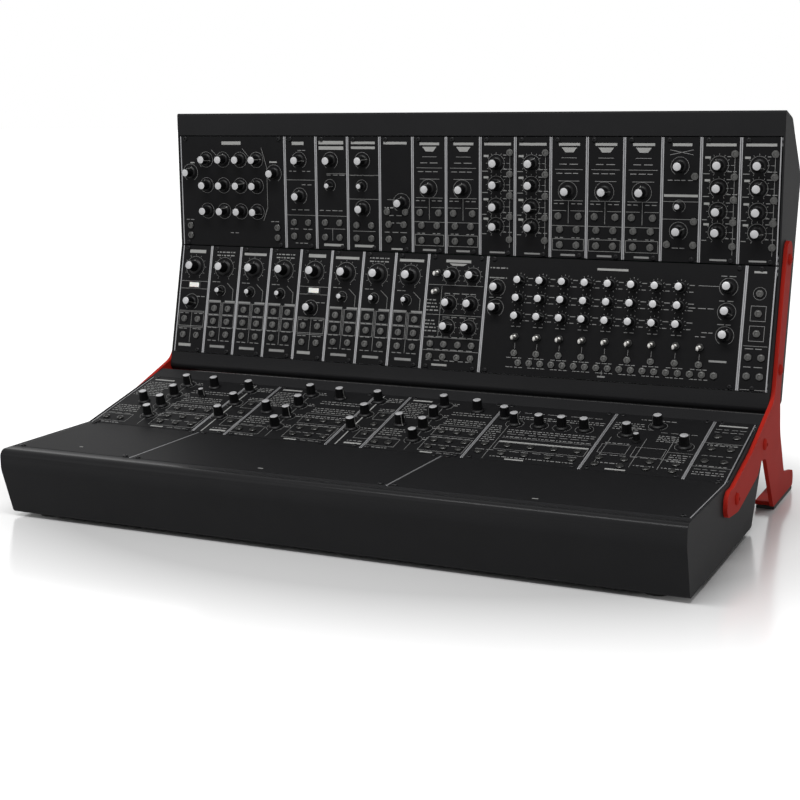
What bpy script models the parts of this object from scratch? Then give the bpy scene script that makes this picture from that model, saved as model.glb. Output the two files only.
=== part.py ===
"""Modular synthesizer: four rows of modules in two sheet steel cases, held by two steel legs.

Both cases are one design. The lower one lies on the table, and its front row is closed by blank
panels. The upper one is tipped back in the legs until its second row stands upright.

The part's frame has +X along the rows to the right, +Y to the back and +Z up, with its origin
under the middle of the object, on the table. A case has its own frame: u runs back from the front
edge of its first row, and v runs up from its base. A row has x along it, s up its panels and n out.
"""
import math

import bmesh
import bpy
from mathutils import Matrix, Vector

MM = 0.001

# Driving sizes of the rows and the modules
HP = 5.08 * MM                     # pitch that every module width is a multiple of
ROW_HP = 140
PANEL_HEIGHT = 128.5 * MM
PANEL_THICKNESS = 2.0 * MM
PANEL_SLIT = 0.4 * MM              # between two neighbouring panels
ROW_GAP = 1.0 * MM                 # between the first row and the second one behind it
ROW_TWO_TILT = math.radians(13.5)

# Driving sizes of a case
WALL = 2.0 * MM                    # sheet thickness
ROW_ONE_HEIGHT = 70.0 * MM         # first row's panel face above the base
SIDE_CLEARANCE = 1.0 * MM          # between the last panel and the end wall
RIM_GAP = 0.6 * MM                 # between a panel edge and the rim of the case
FRONT_RIM = 22.2 * MM              # rim ahead of the first row
FRONT_BASE = 6.0 * MM              # base ahead of the first row
FRONT_UPRIGHT = 20.0 * MM          # height of the upright band under the front rim
REAR_RIM = 27.2 * MM               # rim behind the second row
REAR_UPRIGHT = 36.0 * MM           # height of the upright band under the rear rim
REAR_UNDERCUT = 46.0 * MM          # how far the rear wall leans in towards the base
FRONT_TOP_RADIUS = 8.0 * MM
FRONT_BEND_RADIUS = 24.0 * MM
BASE_RADIUS = 5.0 * MM
REAR_BEND_RADIUS = 14.0 * MM
REAR_TOP_RADIUS = 2.4 * MM

# How the upper case stands over the lower one
STEP_BACK = 45.5 * MM              # from the top of the lower case's rows to the next row above
STEP_UP = 24.2 * MM

# Rails under the panel edges
RAIL_WIDTH = 9.0 * MM
RAIL_DEPTH = 13.0 * MM
RAIL_SLOT = 2.8 * MM               # mouth of the channel for the threaded strip
RAIL_CHANNEL = 5.6 * MM
RAIL_LIP = 1.6 * MM
RAIL_CHANNEL_DEPTH = 6.0 * MM

# What is fixed behind the panels
BOARD_THICKNESS = 1.6 * MM
BOARD_MARGIN = 1.5 * MM            # from the edge of the panel in front
BODY_DEPTH = 10.0 * MM             # potentiometers and switches, panel to board
POT_WIDTH = 9.5 * MM
POT_LENGTH = 11.0 * MM
SHAFT_RADIUS = 3.0 * MM
SHAFT_LENGTH = 7.0 * MM            # below the face of the panel
COLLAR_RADIUS = 3.9 * MM           # over the corners of the nut round a toggle lever
COLLAR_BORE = 2.6 * MM
COLLAR_HEIGHT = 4.6 * MM
PIVOT_HEIGHT = 2.6 * MM            # toggle lever's pivot above the panel
LEVER_BALL = 2.2 * MM
LEVER_NECK = 1.1 * MM
LEVER_TIP = 1.6 * MM
LEVER_HEIGHT = 13.0 * MM
LEVER_THROW = math.radians(14)     # to either side of upright

# Knobs: skirt radius, body radius, cap radius and height
LARGE_KNOB = (9.0 * MM, 6.4 * MM, 5.0 * MM, 15.0 * MM)
MEDIUM_KNOB = (7.0 * MM, 5.4 * MM, 4.6 * MM, 13.0 * MM)

# Knobs without a skirt: body radius, cap radius and height
STEP_KNOB = (5.4 * MM, 4.6 * MM, 12.0 * MM)
TRIM_KNOB = (4.0 * MM, 3.2 * MM, 9.5 * MM)

SKIRT_HEIGHT = 2.2 * MM
FLUTE_DEPTH = 0.5 * MM

# Rockers: half width, half height of the paddle
RANGE_ROCKER = (6.2 * MM, 2.8 * MM)
POWER_ROCKER = (7.0 * MM, 4.5 * MM)
ROCKER_RISE = 2.2 * MM             # ends of the paddle above its pivot
ROCKER_DIP = 1.2 * MM              # middle of the paddle above its pivot
ROCKER_ROOT = 2.0 * MM             # underside of the paddle below its pivot
ROCKER_SWEEP = 0.9 * MM            # room at the paddle's ends for its swing
ROCKER_SIDE = 0.4 * MM
ROCKER_THROW = math.radians(8)     # to either side of level
FRAME_WALL = 1.6 * MM
FRAME_FLANGE = 1.8 * MM
FRAME_DEPTH = 12.0 * MM

# Sockets on the panels
JACK_RADIUS = 4.0 * MM
JACK_HEIGHT = 2.2 * MM

# Power inside a case and its inlet
SUPPLY_SIZE = (170.0 * MM, 84.0 * MM, 32.0 * MM)
SUPPLY_BEVEL = 2.0 * MM
BUS_LENGTH = 620.0 * MM
BUS_WIDTH = 92.0 * MM
BUS_STANDOFF = 6.0 * MM
STANDOFF_RADIUS = 3.0 * MM
HEADER_SIZE = (9.0 * MM, 30.0 * MM, 9.0 * MM)
HEADER_PITCH = 38.0 * MM
HEADERS_ON_A_SIDE = 5
INLET_FLANGE_RADIUS = 8.0 * MM
INLET_RADIUS = 6.0 * MM
INLET_BORE = 3.2 * MM
INLET_PIN = 1.0 * MM
INLET_FLANGE = 2.0 * MM
INLET_DEPTH = 12.0 * MM
INLET_OFFSET = 300.0 * MM          # from the middle of the case, along the rows
POWER_SWITCH_OFFSET = 265.0 * MM

# Legs, their bolts and all that touches the table
LEG_PLATE = 4.0 * MM
LEG_FLANGE = 16.0 * MM             # sole turned in under the plate
BOLT_RADIUS = 3.0 * MM
BOLT_CLEARANCE = 0.4 * MM
BOLT_HEAD_RADIUS = 6.0 * MM
BOLT_HEAD_HEIGHT = 3.2 * MM
BOLT_REACH = 5.0 * MM              # into the case, past its wall
PAD_HEIGHT = 4.0 * MM
PAD_MARGIN = 1.0 * MM
FOOT_RADIUS = 14.0 * MM
FOOT_HEIGHT = 4.0 * MM
FOOT_DRAFT = 1.0 * MM
FOOT_INSET = 34.0 * MM             # from the end of the case
FOOT_EDGE = 22.0 * MM              # from the front or rear edge of the base

# Fits and facets
GAP = 0.3 * MM                     # between two pieces that touch
SINK = 0.2 * MM                    # of a fused piece into what carries it
OVERRUN = 4.0 * MM                 # of a cutter past what it cuts
ARC_STEP = math.radians(20)
SHARP_ANGLE = math.radians(35)
LARGE_SIDES = 12
SMALL_SIDES = 6

# Widths of the modules, in HP
NARROW_HP = 8
OUTPUT_HP = 6
MIXER_HP = 14
SEQUENCER_HP = 56
BANK_HP = 28
BLANK_HP = 56
GENERATOR_HP = (26, 24, 22)
ARRAY_HP = 24
STAGE_HP = 20
FUSED_ROWS = ("row_a", "row_c")


def field_shares(across_shares, up_shares):
    """Places in a grid: shares of a module's width and of the panel height."""
    return [(across, up) for up in up_shares for across in across_shares]


# Places on the modules of row A, as shares of a module's width and of the panel height
BANK_FIELD_SHARES = field_shares((0.25, 0.413, 0.575, 0.732), (0.79, 0.555, 0.32))
BANK_KNOB_SHARES = BANK_FIELD_SHARES + [(0.093, 0.67), (0.896, 0.67)]
BANK_JACK_SHARES = field_shares((0.08, 0.92), (0.18, 0.09))
SHAPER_KNOB_SHARES = [(0.46, 0.79), (0.46, 0.47)]
CONTROL_KNOB_SHARES = [(0.46, 0.79)]
FILTER_KNOB_SHARES = [(0.46, 0.79), (0.46, 0.37)]
FILTER_TRIM_SHARES = [(0.44, 0.57)]
SIDE_LEVEL_SHARES = [(0.66, 0.43)]
LEVEL_SHARES = [(0.475, 0.555)]
FOUR_KNOB_SHARES = field_shares((0.46,), (0.78, 0.60, 0.415, 0.25))
TIMER_KNOB_SHARES = [(0.46, 0.77), (0.46, 0.25)]
TIMER_TRIM_SHARES = [(0.46, 0.45)]
PAIR_JACK_SHARES = field_shares((0.27, 0.73), (0.24, 0.11))
LOW_JACK_SHARES = field_shares((0.27, 0.73), (0.11,))
SIDE_JACK_SHARES = [(0.85, 0.69), (0.85, 0.33)]

# Places on the modules of row B
TUNING_SHARES = [(0.475, 0.80)]
RANGE_SHARES = [(0.52, 0.63)]
OSCILLATOR_TRIM_SHARES = [(0.42, 0.585)]
OSCILLATOR_JACK_SHARES = field_shares((0.27, 0.73), (0.42, 0.30, 0.18))
DRIVER_KNOB_SHARES = [(0.45, 0.47)]
DRIVER_JACK_SHARES = field_shares((0.27, 0.73), (0.31, 0.16))
MIXER_KNOB_SHARES = field_shares((0.407, 0.768), (0.82, 0.575, 0.37))
MIXER_JACK_SHARES = field_shares((0.15, 0.38, 0.62, 0.85), (0.22, 0.11))
MIXER_SWITCH_SHARES = [(0.18, 0.84), (0.18, 0.68)]
STEP_FIRST_SHARE = 0.140
STEP_PITCH_SHARE = 0.0893
STEP_ACROSS_SHARES = [STEP_FIRST_SHARE + STEP_PITCH_SHARE * step for step in range(9)]
STEP_KNOB_SHARES = field_shares(STEP_ACROSS_SHARES[:-1], (0.80, 0.648, 0.495))
STEP_SIDE_SHARES = [(0.047, 0.73), (0.047, 0.56), (0.94, 0.82), (0.94, 0.62), (0.94, 0.43)]
STEP_SWITCH_SHARES = field_shares(STEP_ACROSS_SHARES, (0.325,))
STEP_JACK_SHARES = field_shares(STEP_ACROSS_SHARES, (0.185, 0.105))
OUTPUT_JACK_SHARES = field_shares((0.5,), (0.78, 0.62, 0.46)) + field_shares((0.28, 0.72), (0.27, 0.12))

# Places on the modules of row C
COLUMN_UP_SHARES = (0.88, 0.65, 0.43, 0.22)
FIRST_KNOB_SHARES = field_shares((0.44,), COLUMN_UP_SHARES) + [(0.235, 0.48), (0.715, 0.88)]
FIRST_TRIM_SHARES = [(0.70, 0.68)]
SECOND_KNOB_SHARES = field_shares((0.39,), COLUMN_UP_SHARES) + [(0.15, 0.49), (0.70, 0.86)]
THIRD_KNOB_SHARES = field_shares((0.42,), COLUMN_UP_SHARES) + [(0.16, 0.47), (0.78, 0.84)]
GENERATOR_JACK_SHARES = field_shares((0.08, 0.22), (0.12,)) + field_shares((0.62, 0.77, 0.92), (0.40,))
THREE_KNOB_SHARES = field_shares((0.25,), (0.86, 0.59, 0.32))
THREE_JACK_SHARES = [(0.76, 0.60), (0.76, 0.24)]
ARRAY_KNOB_SHARES = [(0.083, 0.76), (0.21, 0.66), (0.43, 0.66), (0.63, 0.66), (0.825, 0.66)]
ARRAY_JACK_SHARES = field_shares((0.10, 0.30, 0.50, 0.70, 0.90), (0.26,))
STAGE_KNOB_SHARES = [(0.235, 0.64), (0.48, 0.83), (0.85, 0.51)]
STAGE_TRIM_SHARES = [(0.37, 0.53)]
STAGE_JACK_SHARES = field_shares((0.12, 0.37, 0.62, 0.87), (0.20,))
PATCH_JACK_SHARES = field_shares((0.27, 0.73), (0.72, 0.30))

# Corners of a leg: the frame they follow, shares of the rows' depth and of the row height,
# and the share of the row height that their radius is
LEG_CORNER_SHARES = [
    ("lower", 0.413, 0.945, 0.17), ("lower", 0.413, 0.600, 0.17), ("lower", 0.600, 0.540, 0.60),
    ("lower", 0.925, 0.755, 0.20), ("lower", 0.985, 0.925, 0.13), ("lower", 1.068, 0.895, 0.20),
    ("lower", 1.170, 0.430, 0.30), ("table", 1.265, 0.0, 0.04), ("table", 1.670, 0.0, 0.06),
    ("table", 1.670, 0.240, 0.13), ("table", 1.460, 0.370, 0.24), ("table", 1.345, 1.080, 0.80),
    ("upper", 0.000, 0.480, 0.60), ("upper", 0.622, 0.480, 0.19), ("upper", 0.622, 0.886, 0.19),
    ("upper", -0.024, 0.886, 0.36), ("lower", 0.806, 1.185, 0.50), ("lower", 0.509, 0.945, 0.20)]
LEG_BOLT_SHARES = [("lower", 0.560, 0.750), ("lower", 1.030, 1.130), ("upper", 0.547, 0.690),
                   ("upper", 0.100, 0.690)]
HEEL_SHARE = 1.265
TOE_SHARE = 1.670
BUS_SHARE = 0.42                   # where the power board lies, of the rows' depth
REAR_FITTING_SHARE = 0.42          # height of inlet and power switch on the leaning rear wall

# Sizes that follow from the ones above
ROW_WIDTH = ROW_HP * HP
INNER_HALF = ROW_WIDTH / 2 + SIDE_CLEARANCE
OUTER_HALF = INNER_HALF + WALL
ROW_TWO_START = PANEL_HEIGHT + ROW_GAP
ROWS_DEPTH = ROW_TWO_START + PANEL_HEIGHT * math.cos(ROW_TWO_TILT)
ROWS_HEIGHT = ROW_ONE_HEIGHT + PANEL_HEIGHT * math.sin(ROW_TWO_TILT)
REAR_FACE = ROWS_DEPTH + REAR_RIM * math.cos(ROW_TWO_TILT)
REAR_TOP = ROWS_HEIGHT + REAR_RIM * math.sin(ROW_TWO_TILT)
BASE_HEIGHT = FOOT_HEIGHT + GAP
UPPER_TILT = math.pi / 2 - ROW_TWO_TILT
LEG_SOLE = PAD_HEIGHT + GAP
CENTRE = (TOE_SHARE * ROWS_DEPTH - FRONT_RIM) / 2

LOWER_CASE = Matrix.Translation((0, -CENTRE, BASE_HEIGHT))
UPPER_ROW_CORNER = LOWER_CASE @ Vector((0, ROWS_DEPTH + STEP_BACK, ROWS_HEIGHT + STEP_UP))
UPPER_TURN = Matrix.Rotation(UPPER_TILT, 4, "X")
ROW_ONE = Matrix.Translation((0, 0, ROW_ONE_HEIGHT))
ROW_TWO = Matrix.Translation((0, ROW_TWO_START, ROW_ONE_HEIGHT)) @ Matrix.Rotation(ROW_TWO_TILT, 4, "X")
UPPER_CASE = Matrix.Translation(UPPER_ROW_CORNER) @ UPPER_TURN @ ROW_ONE.inverted()
CASES = {"lower": LOWER_CASE, "upper": UPPER_CASE, "table": Matrix.Translation((0, -CENTRE, LEG_SOLE))}
ROWS = {"row_a": UPPER_CASE @ ROW_TWO, "row_b": UPPER_CASE @ ROW_ONE,
        "row_c": LOWER_CASE @ ROW_TWO, "row_d": LOWER_CASE @ ROW_ONE}


def clear_scene():
    """Removes what Blender starts with."""
    for thing in list(bpy.data.objects):
        bpy.data.objects.remove(thing, do_unlink=True)


def finish(name, colour, roughness, metallic):
    """A material of one colour, given as red, green and blue from 0 to 1."""
    material = bpy.data.materials.new(name)
    material.use_nodes = True
    shader = material.node_tree.nodes["Principled BSDF"]
    shader.inputs["Base Color"].default_value = (*colour, 1)
    shader.inputs["Roughness"].default_value = roughness
    shader.inputs["Metallic"].default_value = metallic
    return material


clear_scene()
BLACK_STEEL = finish("black powder coated steel", (0.016, 0.016, 0.017), 0.55, 0.0)
RED_STEEL = finish("red powder coated steel", (0.26, 0.023, 0.018), 0.5, 0.0)
BLACK_PANEL = finish("black anodised panel", (0.012, 0.012, 0.013), 0.45, 0.3)
BARE_ALUMINIUM = finish("bare aluminium", (0.55, 0.55, 0.55), 0.35, 1.0)
BLACK_PLASTIC = finish("black moulded plastic", (0.01, 0.01, 0.01), 0.4, 0.0)
WHITE_PLASTIC = finish("white moulded plastic", (0.7, 0.7, 0.68), 0.4, 0.0)
BRIGHT_METAL = finish("bright plated metal", (0.6, 0.6, 0.6), 0.25, 1.0)
BLACK_RUBBER = finish("black rubber", (0.014, 0.014, 0.014), 0.85, 0.0)
BOARD_GREEN = finish("circuit board", (0.01, 0.05, 0.03), 0.5, 0.0)


def add_object(name, mesh_builder, material, place=None):
    """One object from a finished bmesh, at a matrix of rotation and translation."""
    bmesh.ops.recalc_face_normals(mesh_builder, faces=mesh_builder.faces)
    mesh = bpy.data.meshes.new(name)
    mesh_builder.to_mesh(mesh)
    mesh_builder.free()
    mesh.materials.append(material)
    mesh.shade_smooth()
    mesh.set_sharp_from_angle(angle=SHARP_ANGLE)
    thing = bpy.data.objects.new(name, mesh)
    bpy.context.collection.objects.link(thing)
    thing.matrix_world = place if place is not None else Matrix.Identity(4)
    return thing


def stack(builder, loops, place=None):
    """Bridges loops of equal length one after another and caps both ends."""
    place = place if place is not None else Matrix.Identity(4)
    rings = [[builder.verts.new(place @ Vector(point)) for point in loop] for loop in loops]
    count = len(loops[0])
    for low, high in zip(rings, rings[1:]):
        for i in range(count):
            j = (i + 1) % count
            builder.faces.new((low[i], low[j], high[j], high[i]))
    builder.faces.new(list(reversed(rings[0])))
    builder.faces.new(rings[-1])


def circle(radius, z, sides, flute=0.0):
    """Points round a circle, every second one drawn in by the depth of a flute."""
    turn = 2 * math.pi / sides
    radii = [radius - flute * (i % 2) for i in range(sides)]
    return [(r * math.cos(i * turn), r * math.sin(i * turn), z) for i, r in enumerate(radii)]


def clear_circle(radius, z, sides):
    """Points of a bore whose flat sides clear a radius."""
    return circle(radius / math.cos(math.pi / sides), z, sides)


def rectangle(half_x, half_y, z):
    """Corners of a rectangle about the z axis."""
    return [(half_x, half_y, z), (-half_x, half_y, z), (-half_x, -half_y, z), (half_x, -half_y, z)]


def box(builder, low, high, place=None):
    """A box from its lowest to its highest corner."""
    centre = (Vector(low) + Vector(high)) / 2
    half = (Vector(high) - Vector(low)) / 2
    shift = (place if place is not None else Matrix.Identity(4)) @ Matrix.Translation(centre)
    stack(builder, [rectangle(half.x, half.y, -half.z), rectangle(half.x, half.y, half.z)], shift)


def extrude(builder, outline, left, right, place=None):
    """An outline of (u, v) points drawn out along x."""
    stack(builder, [[(x, u, v) for u, v in outline] for x in (left, right)], place)


def rounded(corners, closed=True):
    """Turns corners of (x, y, radius) into points, with an arc at each corner that has a radius."""
    points = []
    count = len(corners)
    for i, (x, y, radius) in enumerate(corners):
        corner = Vector((x, y))
        if radius == 0 or (not closed and i in (0, count - 1)):
            points.append(corner)
            continue
        before = (Vector(corners[i - 1][:2]) - corner).normalized()
        after = (Vector(corners[(i + 1) % count][:2]) - corner).normalized()
        half = before.angle(after) / 2
        turn = math.pi - 2 * half
        centre = corner + (before + after).normalized() * (radius / math.sin(half))
        start = corner + before * (radius / math.tan(half)) - centre
        sign = -1 if before.x * after.y - before.y * after.x > 0 else 1
        steps = max(1, math.ceil(turn / ARC_STEP))
        for k in range(steps + 1):
            points.append(centre + Matrix.Rotation(sign * turn * k / steps, 2) @ start)
    return [(point.x, point.y) for point in points]


def inset(line, distance):
    """An open line of (u, v) points moved to its left by a distance."""
    moved = []
    for i, point in enumerate(line):
        here = Vector(point)
        nearby = [j for j in (i - 1, i) if 0 <= j < len(line) - 1]
        runs = [(Vector(line[j + 1]) - Vector(line[j])).normalized() for j in nearby]
        normals = [Vector((-run.y, run.x)) for run in runs]
        middle = sum(normals, Vector((0, 0))).normalized()
        moved.append(here + middle * (distance / middle.dot(normals[0])))
    return [(point.x, point.y) for point in moved]


def combine(target, tool, operation):
    """Fuses the tool's shape to the target, or takes it out."""
    tool.hide_render = True
    tool.display_type = "WIRE"
    modifier = target.modifiers.new(tool.name, "BOOLEAN")
    modifier.operation = operation
    modifier.solver = "EXACT"
    modifier.object = tool


def rear_wall_frame(case):
    """A frame on the leaning rear wall, with z out of the wall and x along the case."""
    foot = Vector((0, REAR_FACE - REAR_UNDERCUT, 0))
    head = Vector((0, REAR_FACE, REAR_TOP - REAR_UPRIGHT))
    along = (head - foot).normalized()
    out = Vector((1, 0, 0)).cross(along) * -1
    spot = foot + (head - foot) * REAR_FITTING_SHARE
    axes = Matrix(((-1, along.x, out.x, 0), (0, along.y, out.y, 0), (0, along.z, out.z, 0), (0, 0, 0, 1)))
    return case @ Matrix.Translation(spot) @ axes


# Cases: a folded sheet steel tub with end walls, open over its two rows
def case_profile():
    """Outer line of the sheet from the front rim, round the base, to the rear rim."""
    lip = ROWS_DEPTH + RIM_GAP * math.cos(ROW_TWO_TILT)
    lip_height = ROWS_HEIGHT + RIM_GAP * math.sin(ROW_TWO_TILT)
    return rounded([
        (-RIM_GAP, ROW_ONE_HEIGHT, 0),
        (-FRONT_RIM, ROW_ONE_HEIGHT, FRONT_TOP_RADIUS),
        (-FRONT_RIM, ROW_ONE_HEIGHT - FRONT_UPRIGHT, FRONT_BEND_RADIUS),
        (-FRONT_BASE, 0, BASE_RADIUS),
        (REAR_FACE - REAR_UNDERCUT, 0, BASE_RADIUS),
        (REAR_FACE, REAR_TOP - REAR_UPRIGHT, REAR_BEND_RADIUS),
        (REAR_FACE, REAR_TOP, REAR_TOP_RADIUS),
        (lip, lip_height, 0)], closed=False)


def leg_bolt_places(frame):
    """Bolt places of the legs on one case, as (u, v)."""
    shares = [share for name, *share in LEG_BOLT_SHARES if name == frame]
    return [(across * ROWS_DEPTH, up * ROW_ONE_HEIGHT) for across, up in shares]


def bolt_axis(u, v, side):
    """A frame with z along the bolt, out of the case's end wall."""
    turn = Matrix.Rotation(side * math.pi / 2, 4, "Y")
    return Matrix.Translation((side * OUTER_HALF, u, v)) @ turn


def add_case(name):
    """The shell of one case with its holes for inlet, power switch and leg bolts."""
    case = CASES[name]
    profile = case_profile()
    solid = bmesh.new()
    extrude(solid, profile + [(ROW_TWO_START, ROW_ONE_HEIGHT)], -OUTER_HALF, OUTER_HALF)
    shell = add_object(name + "_case_shell", solid, BLACK_STEEL, case)
    inside = inset(profile, WALL)
    front, rear = inside[0], inside[-1]
    mouth = [(rear[0], rear[1] + OVERRUN), (ROW_TWO_START, ROW_ONE_HEIGHT + OVERRUN),
             (front[0], front[1] + OVERRUN)]
    hollow = bmesh.new()
    extrude(hollow, inside + mouth, -INNER_HALF, INNER_HALF)
    combine(shell, add_object(name + "_case_hollow", hollow, BLACK_STEEL, case), "DIFFERENCE")

    wall = rear_wall_frame(case)
    holes = bmesh.new()
    stack(holes, [clear_circle(INLET_RADIUS + GAP, z, LARGE_SIDES) for z in (-OVERRUN, OVERRUN)],
          wall @ Matrix.Translation((INLET_OFFSET, 0, 0)))
    switch_place = wall @ Matrix.Translation((POWER_SWITCH_OFFSET, 0, 0))
    well_x, well_y, depth = rocker_well(POWER_ROCKER)
    half_x, half_y = well_x + FRAME_WALL, well_y + FRAME_WALL
    lip_x, lip_y = half_x + FRAME_WALL, half_y + FRAME_WALL
    frame = bmesh.new()
    stack(frame, [rectangle(half_x, half_y, -FRAME_DEPTH), rectangle(half_x, half_y, -SINK),
                  rectangle(lip_x, lip_y, -SINK), rectangle(lip_x, lip_y, FRAME_FLANGE)], switch_place)
    combine(shell, add_object(name + "_switch_frame", frame, BLACK_STEEL), "UNION")
    stack(holes, [rectangle(well_x, well_y, z) for z in (-depth, OVERRUN)], switch_place)
    for u, v in leg_bolt_places(name):
        for side in (-1, 1):
            bore = [clear_circle(BOLT_RADIUS + BOLT_CLEARANCE, z, SMALL_SIDES) for z in (-OVERRUN, OVERRUN)]
            stack(holes, bore, case @ bolt_axis(u, v, side))
    combine(shell, add_object(name + "_case_holes", holes, BLACK_STEEL), "DIFFERENCE")


# Rails: extruded aluminium with a channel for the threaded strip that the panel screws bite into
def rail_outline(seat):
    """Section of a rail, from its lower corner round to the channel, as (s, n)."""
    middle = RAIL_WIDTH / 2
    top = -PANEL_THICKNESS - seat
    mouth = RAIL_SLOT / 2
    channel = RAIL_CHANNEL / 2
    floor = top - RAIL_CHANNEL_DEPTH
    return [(0, top), (0, top - RAIL_DEPTH), (RAIL_WIDTH, top - RAIL_DEPTH), (RAIL_WIDTH, top),
            (middle + mouth, top), (middle + mouth, top - RAIL_LIP), (middle + channel, top - RAIL_LIP),
            (middle + channel, floor), (middle - channel, floor), (middle - channel, top - RAIL_LIP),
            (middle - mouth, top - RAIL_LIP), (middle - mouth, top)]


def rail_places():
    """How far up a row its two rails start."""
    return {"front": 0, "rear": PANEL_HEIGHT - RAIL_WIDTH}


def add_rail(builder, start, seat):
    """One rail along the row, whose top lies the given seat under the panels."""
    half = INNER_HALF - GAP
    extrude(builder, rail_outline(seat), -half, half, Matrix.Translation((0, start, 0)))


# Knobs, levers and rockers
def skirted_knob(size):
    """Rings of a fixed knob: a sloping skirt under a tapered body."""
    skirt, body, cap, height = size
    return [circle(r, z, SMALL_SIDES) for r, z in ((skirt, -SINK), (body, SKIRT_HEIGHT), (cap, height))]


def plain_knob(size):
    """Rings of a fixed knob without a skirt."""
    body, cap, height = size
    return [circle(r, z, SMALL_SIDES) for r, z in ((body, -SINK), (cap, height))]


def add_turning_knob(name, size, place):
    """A fluted knob with its shaft, turning about its own axis."""
    skirt, body, cap, height = size
    rings = [(SHAFT_RADIUS, -SHAFT_LENGTH, 0), (SHAFT_RADIUS, GAP, 0), (skirt, GAP, 0),
             (skirt - FLUTE_DEPTH, SKIRT_HEIGHT, 0), (body, SKIRT_HEIGHT, FLUTE_DEPTH),
             (cap, height, FLUTE_DEPTH)]
    builder = bmesh.new()
    stack(builder, [circle(r, z, LARGE_SIDES, flute) for r, z, flute in rings])
    add_object(name, builder, BLACK_PLASTIC, place)


def add_lever(name, place):
    """A toggle lever about its pivot, thrown down: ball, neck and bat end."""
    neck = LEVER_BALL * math.cos(math.pi / 4)
    tip = LEVER_HEIGHT - PIVOT_HEIGHT
    rings = [(neck, -neck), (LEVER_BALL, 0), (LEVER_NECK, LEVER_BALL), (LEVER_TIP, tip)]
    builder = bmesh.new()
    stack(builder, [circle(r, z, SMALL_SIDES) for r, z in rings])
    pivot = Matrix.Translation((0, 0, PIVOT_HEIGHT)) @ Matrix.Rotation(LEVER_THROW, 4, "X")
    add_object(name, builder, BRIGHT_METAL, place @ pivot)


def add_paddle(name, size, place, material):
    """A rocker pressed down on one side, with raised ends and a hollow middle, about the y axis."""
    half_x, half_y = size
    root = half_x - ROCKER_SWEEP
    outline = [(-root, -ROCKER_ROOT), (root, -ROCKER_ROOT), (half_x, ROCKER_RISE), (0, ROCKER_DIP),
               (-half_x, ROCKER_RISE)]
    builder = bmesh.new()
    stack(builder, [[(x, y, z) for x, z in outline] for y in (-half_y, half_y)])
    add_object(name, builder, material, place @ Matrix.Rotation(ROCKER_THROW, 4, "Y"))


def rocker_well(size):
    """Half sizes of the well that a rocker tips in, and how deep it is."""
    return size[0] + ROCKER_SWEEP, size[1] + ROCKER_SIDE, ROCKER_ROOT + ROCKER_RISE + ROCKER_DIP


# Modules: each has its width in HP and the places of what its panel carries
def module(name, width, knobs=(), steps=(), trims=(), jacks=(), turning=(), toggles=(), rockers=()):
    """One module; turning, toggles and rockers are names and places of pieces with nodes of their own."""
    return {"name": name, "width": width, "knobs": knobs, "steps": steps, "trims": trims, "jacks": jacks,
            "turning": turning, "toggles": toggles, "rockers": rockers}


def numbered(name, first, shares):
    """Names that count up from the first number, each with its place."""
    return [("%s_%d" % (name, first + i), *share) for i, share in enumerate(shares)]


def oscillator(number):
    """A module whose large knob turns, over a trimmer and six sockets."""
    return module("oscillator_module_%d" % number, NARROW_HP, trims=OSCILLATOR_TRIM_SHARES,
                  jacks=OSCILLATOR_JACK_SHARES, turning=numbered("tuning_knob", number, TUNING_SHARES))


def driver(number, rocker):
    """A module with a large turning knob, a white rocker, a fixed knob and four sockets."""
    return module("driver_module_%d" % rocker, NARROW_HP, knobs=DRIVER_KNOB_SHARES, jacks=DRIVER_JACK_SHARES,
                  turning=numbered("tuning_knob", number, TUNING_SHARES),
                  rockers=numbered("range_rocker", rocker, RANGE_SHARES))


def level(number, shares):
    """A module whose one knob turns."""
    return module("", NARROW_HP, jacks=PAIR_JACK_SHARES, turning=numbered("level_knob", number, shares))


AMPLIFIER = module("", NARROW_HP, knobs=LEVEL_SHARES, jacks=PAIR_JACK_SHARES)
ATTENUATOR = module("", NARROW_HP, knobs=FOUR_KNOB_SHARES, jacks=SIDE_JACK_SHARES)
THREE_KNOBS = module("", NARROW_HP, knobs=THREE_KNOB_SHARES, jacks=THREE_JACK_SHARES)

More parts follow.
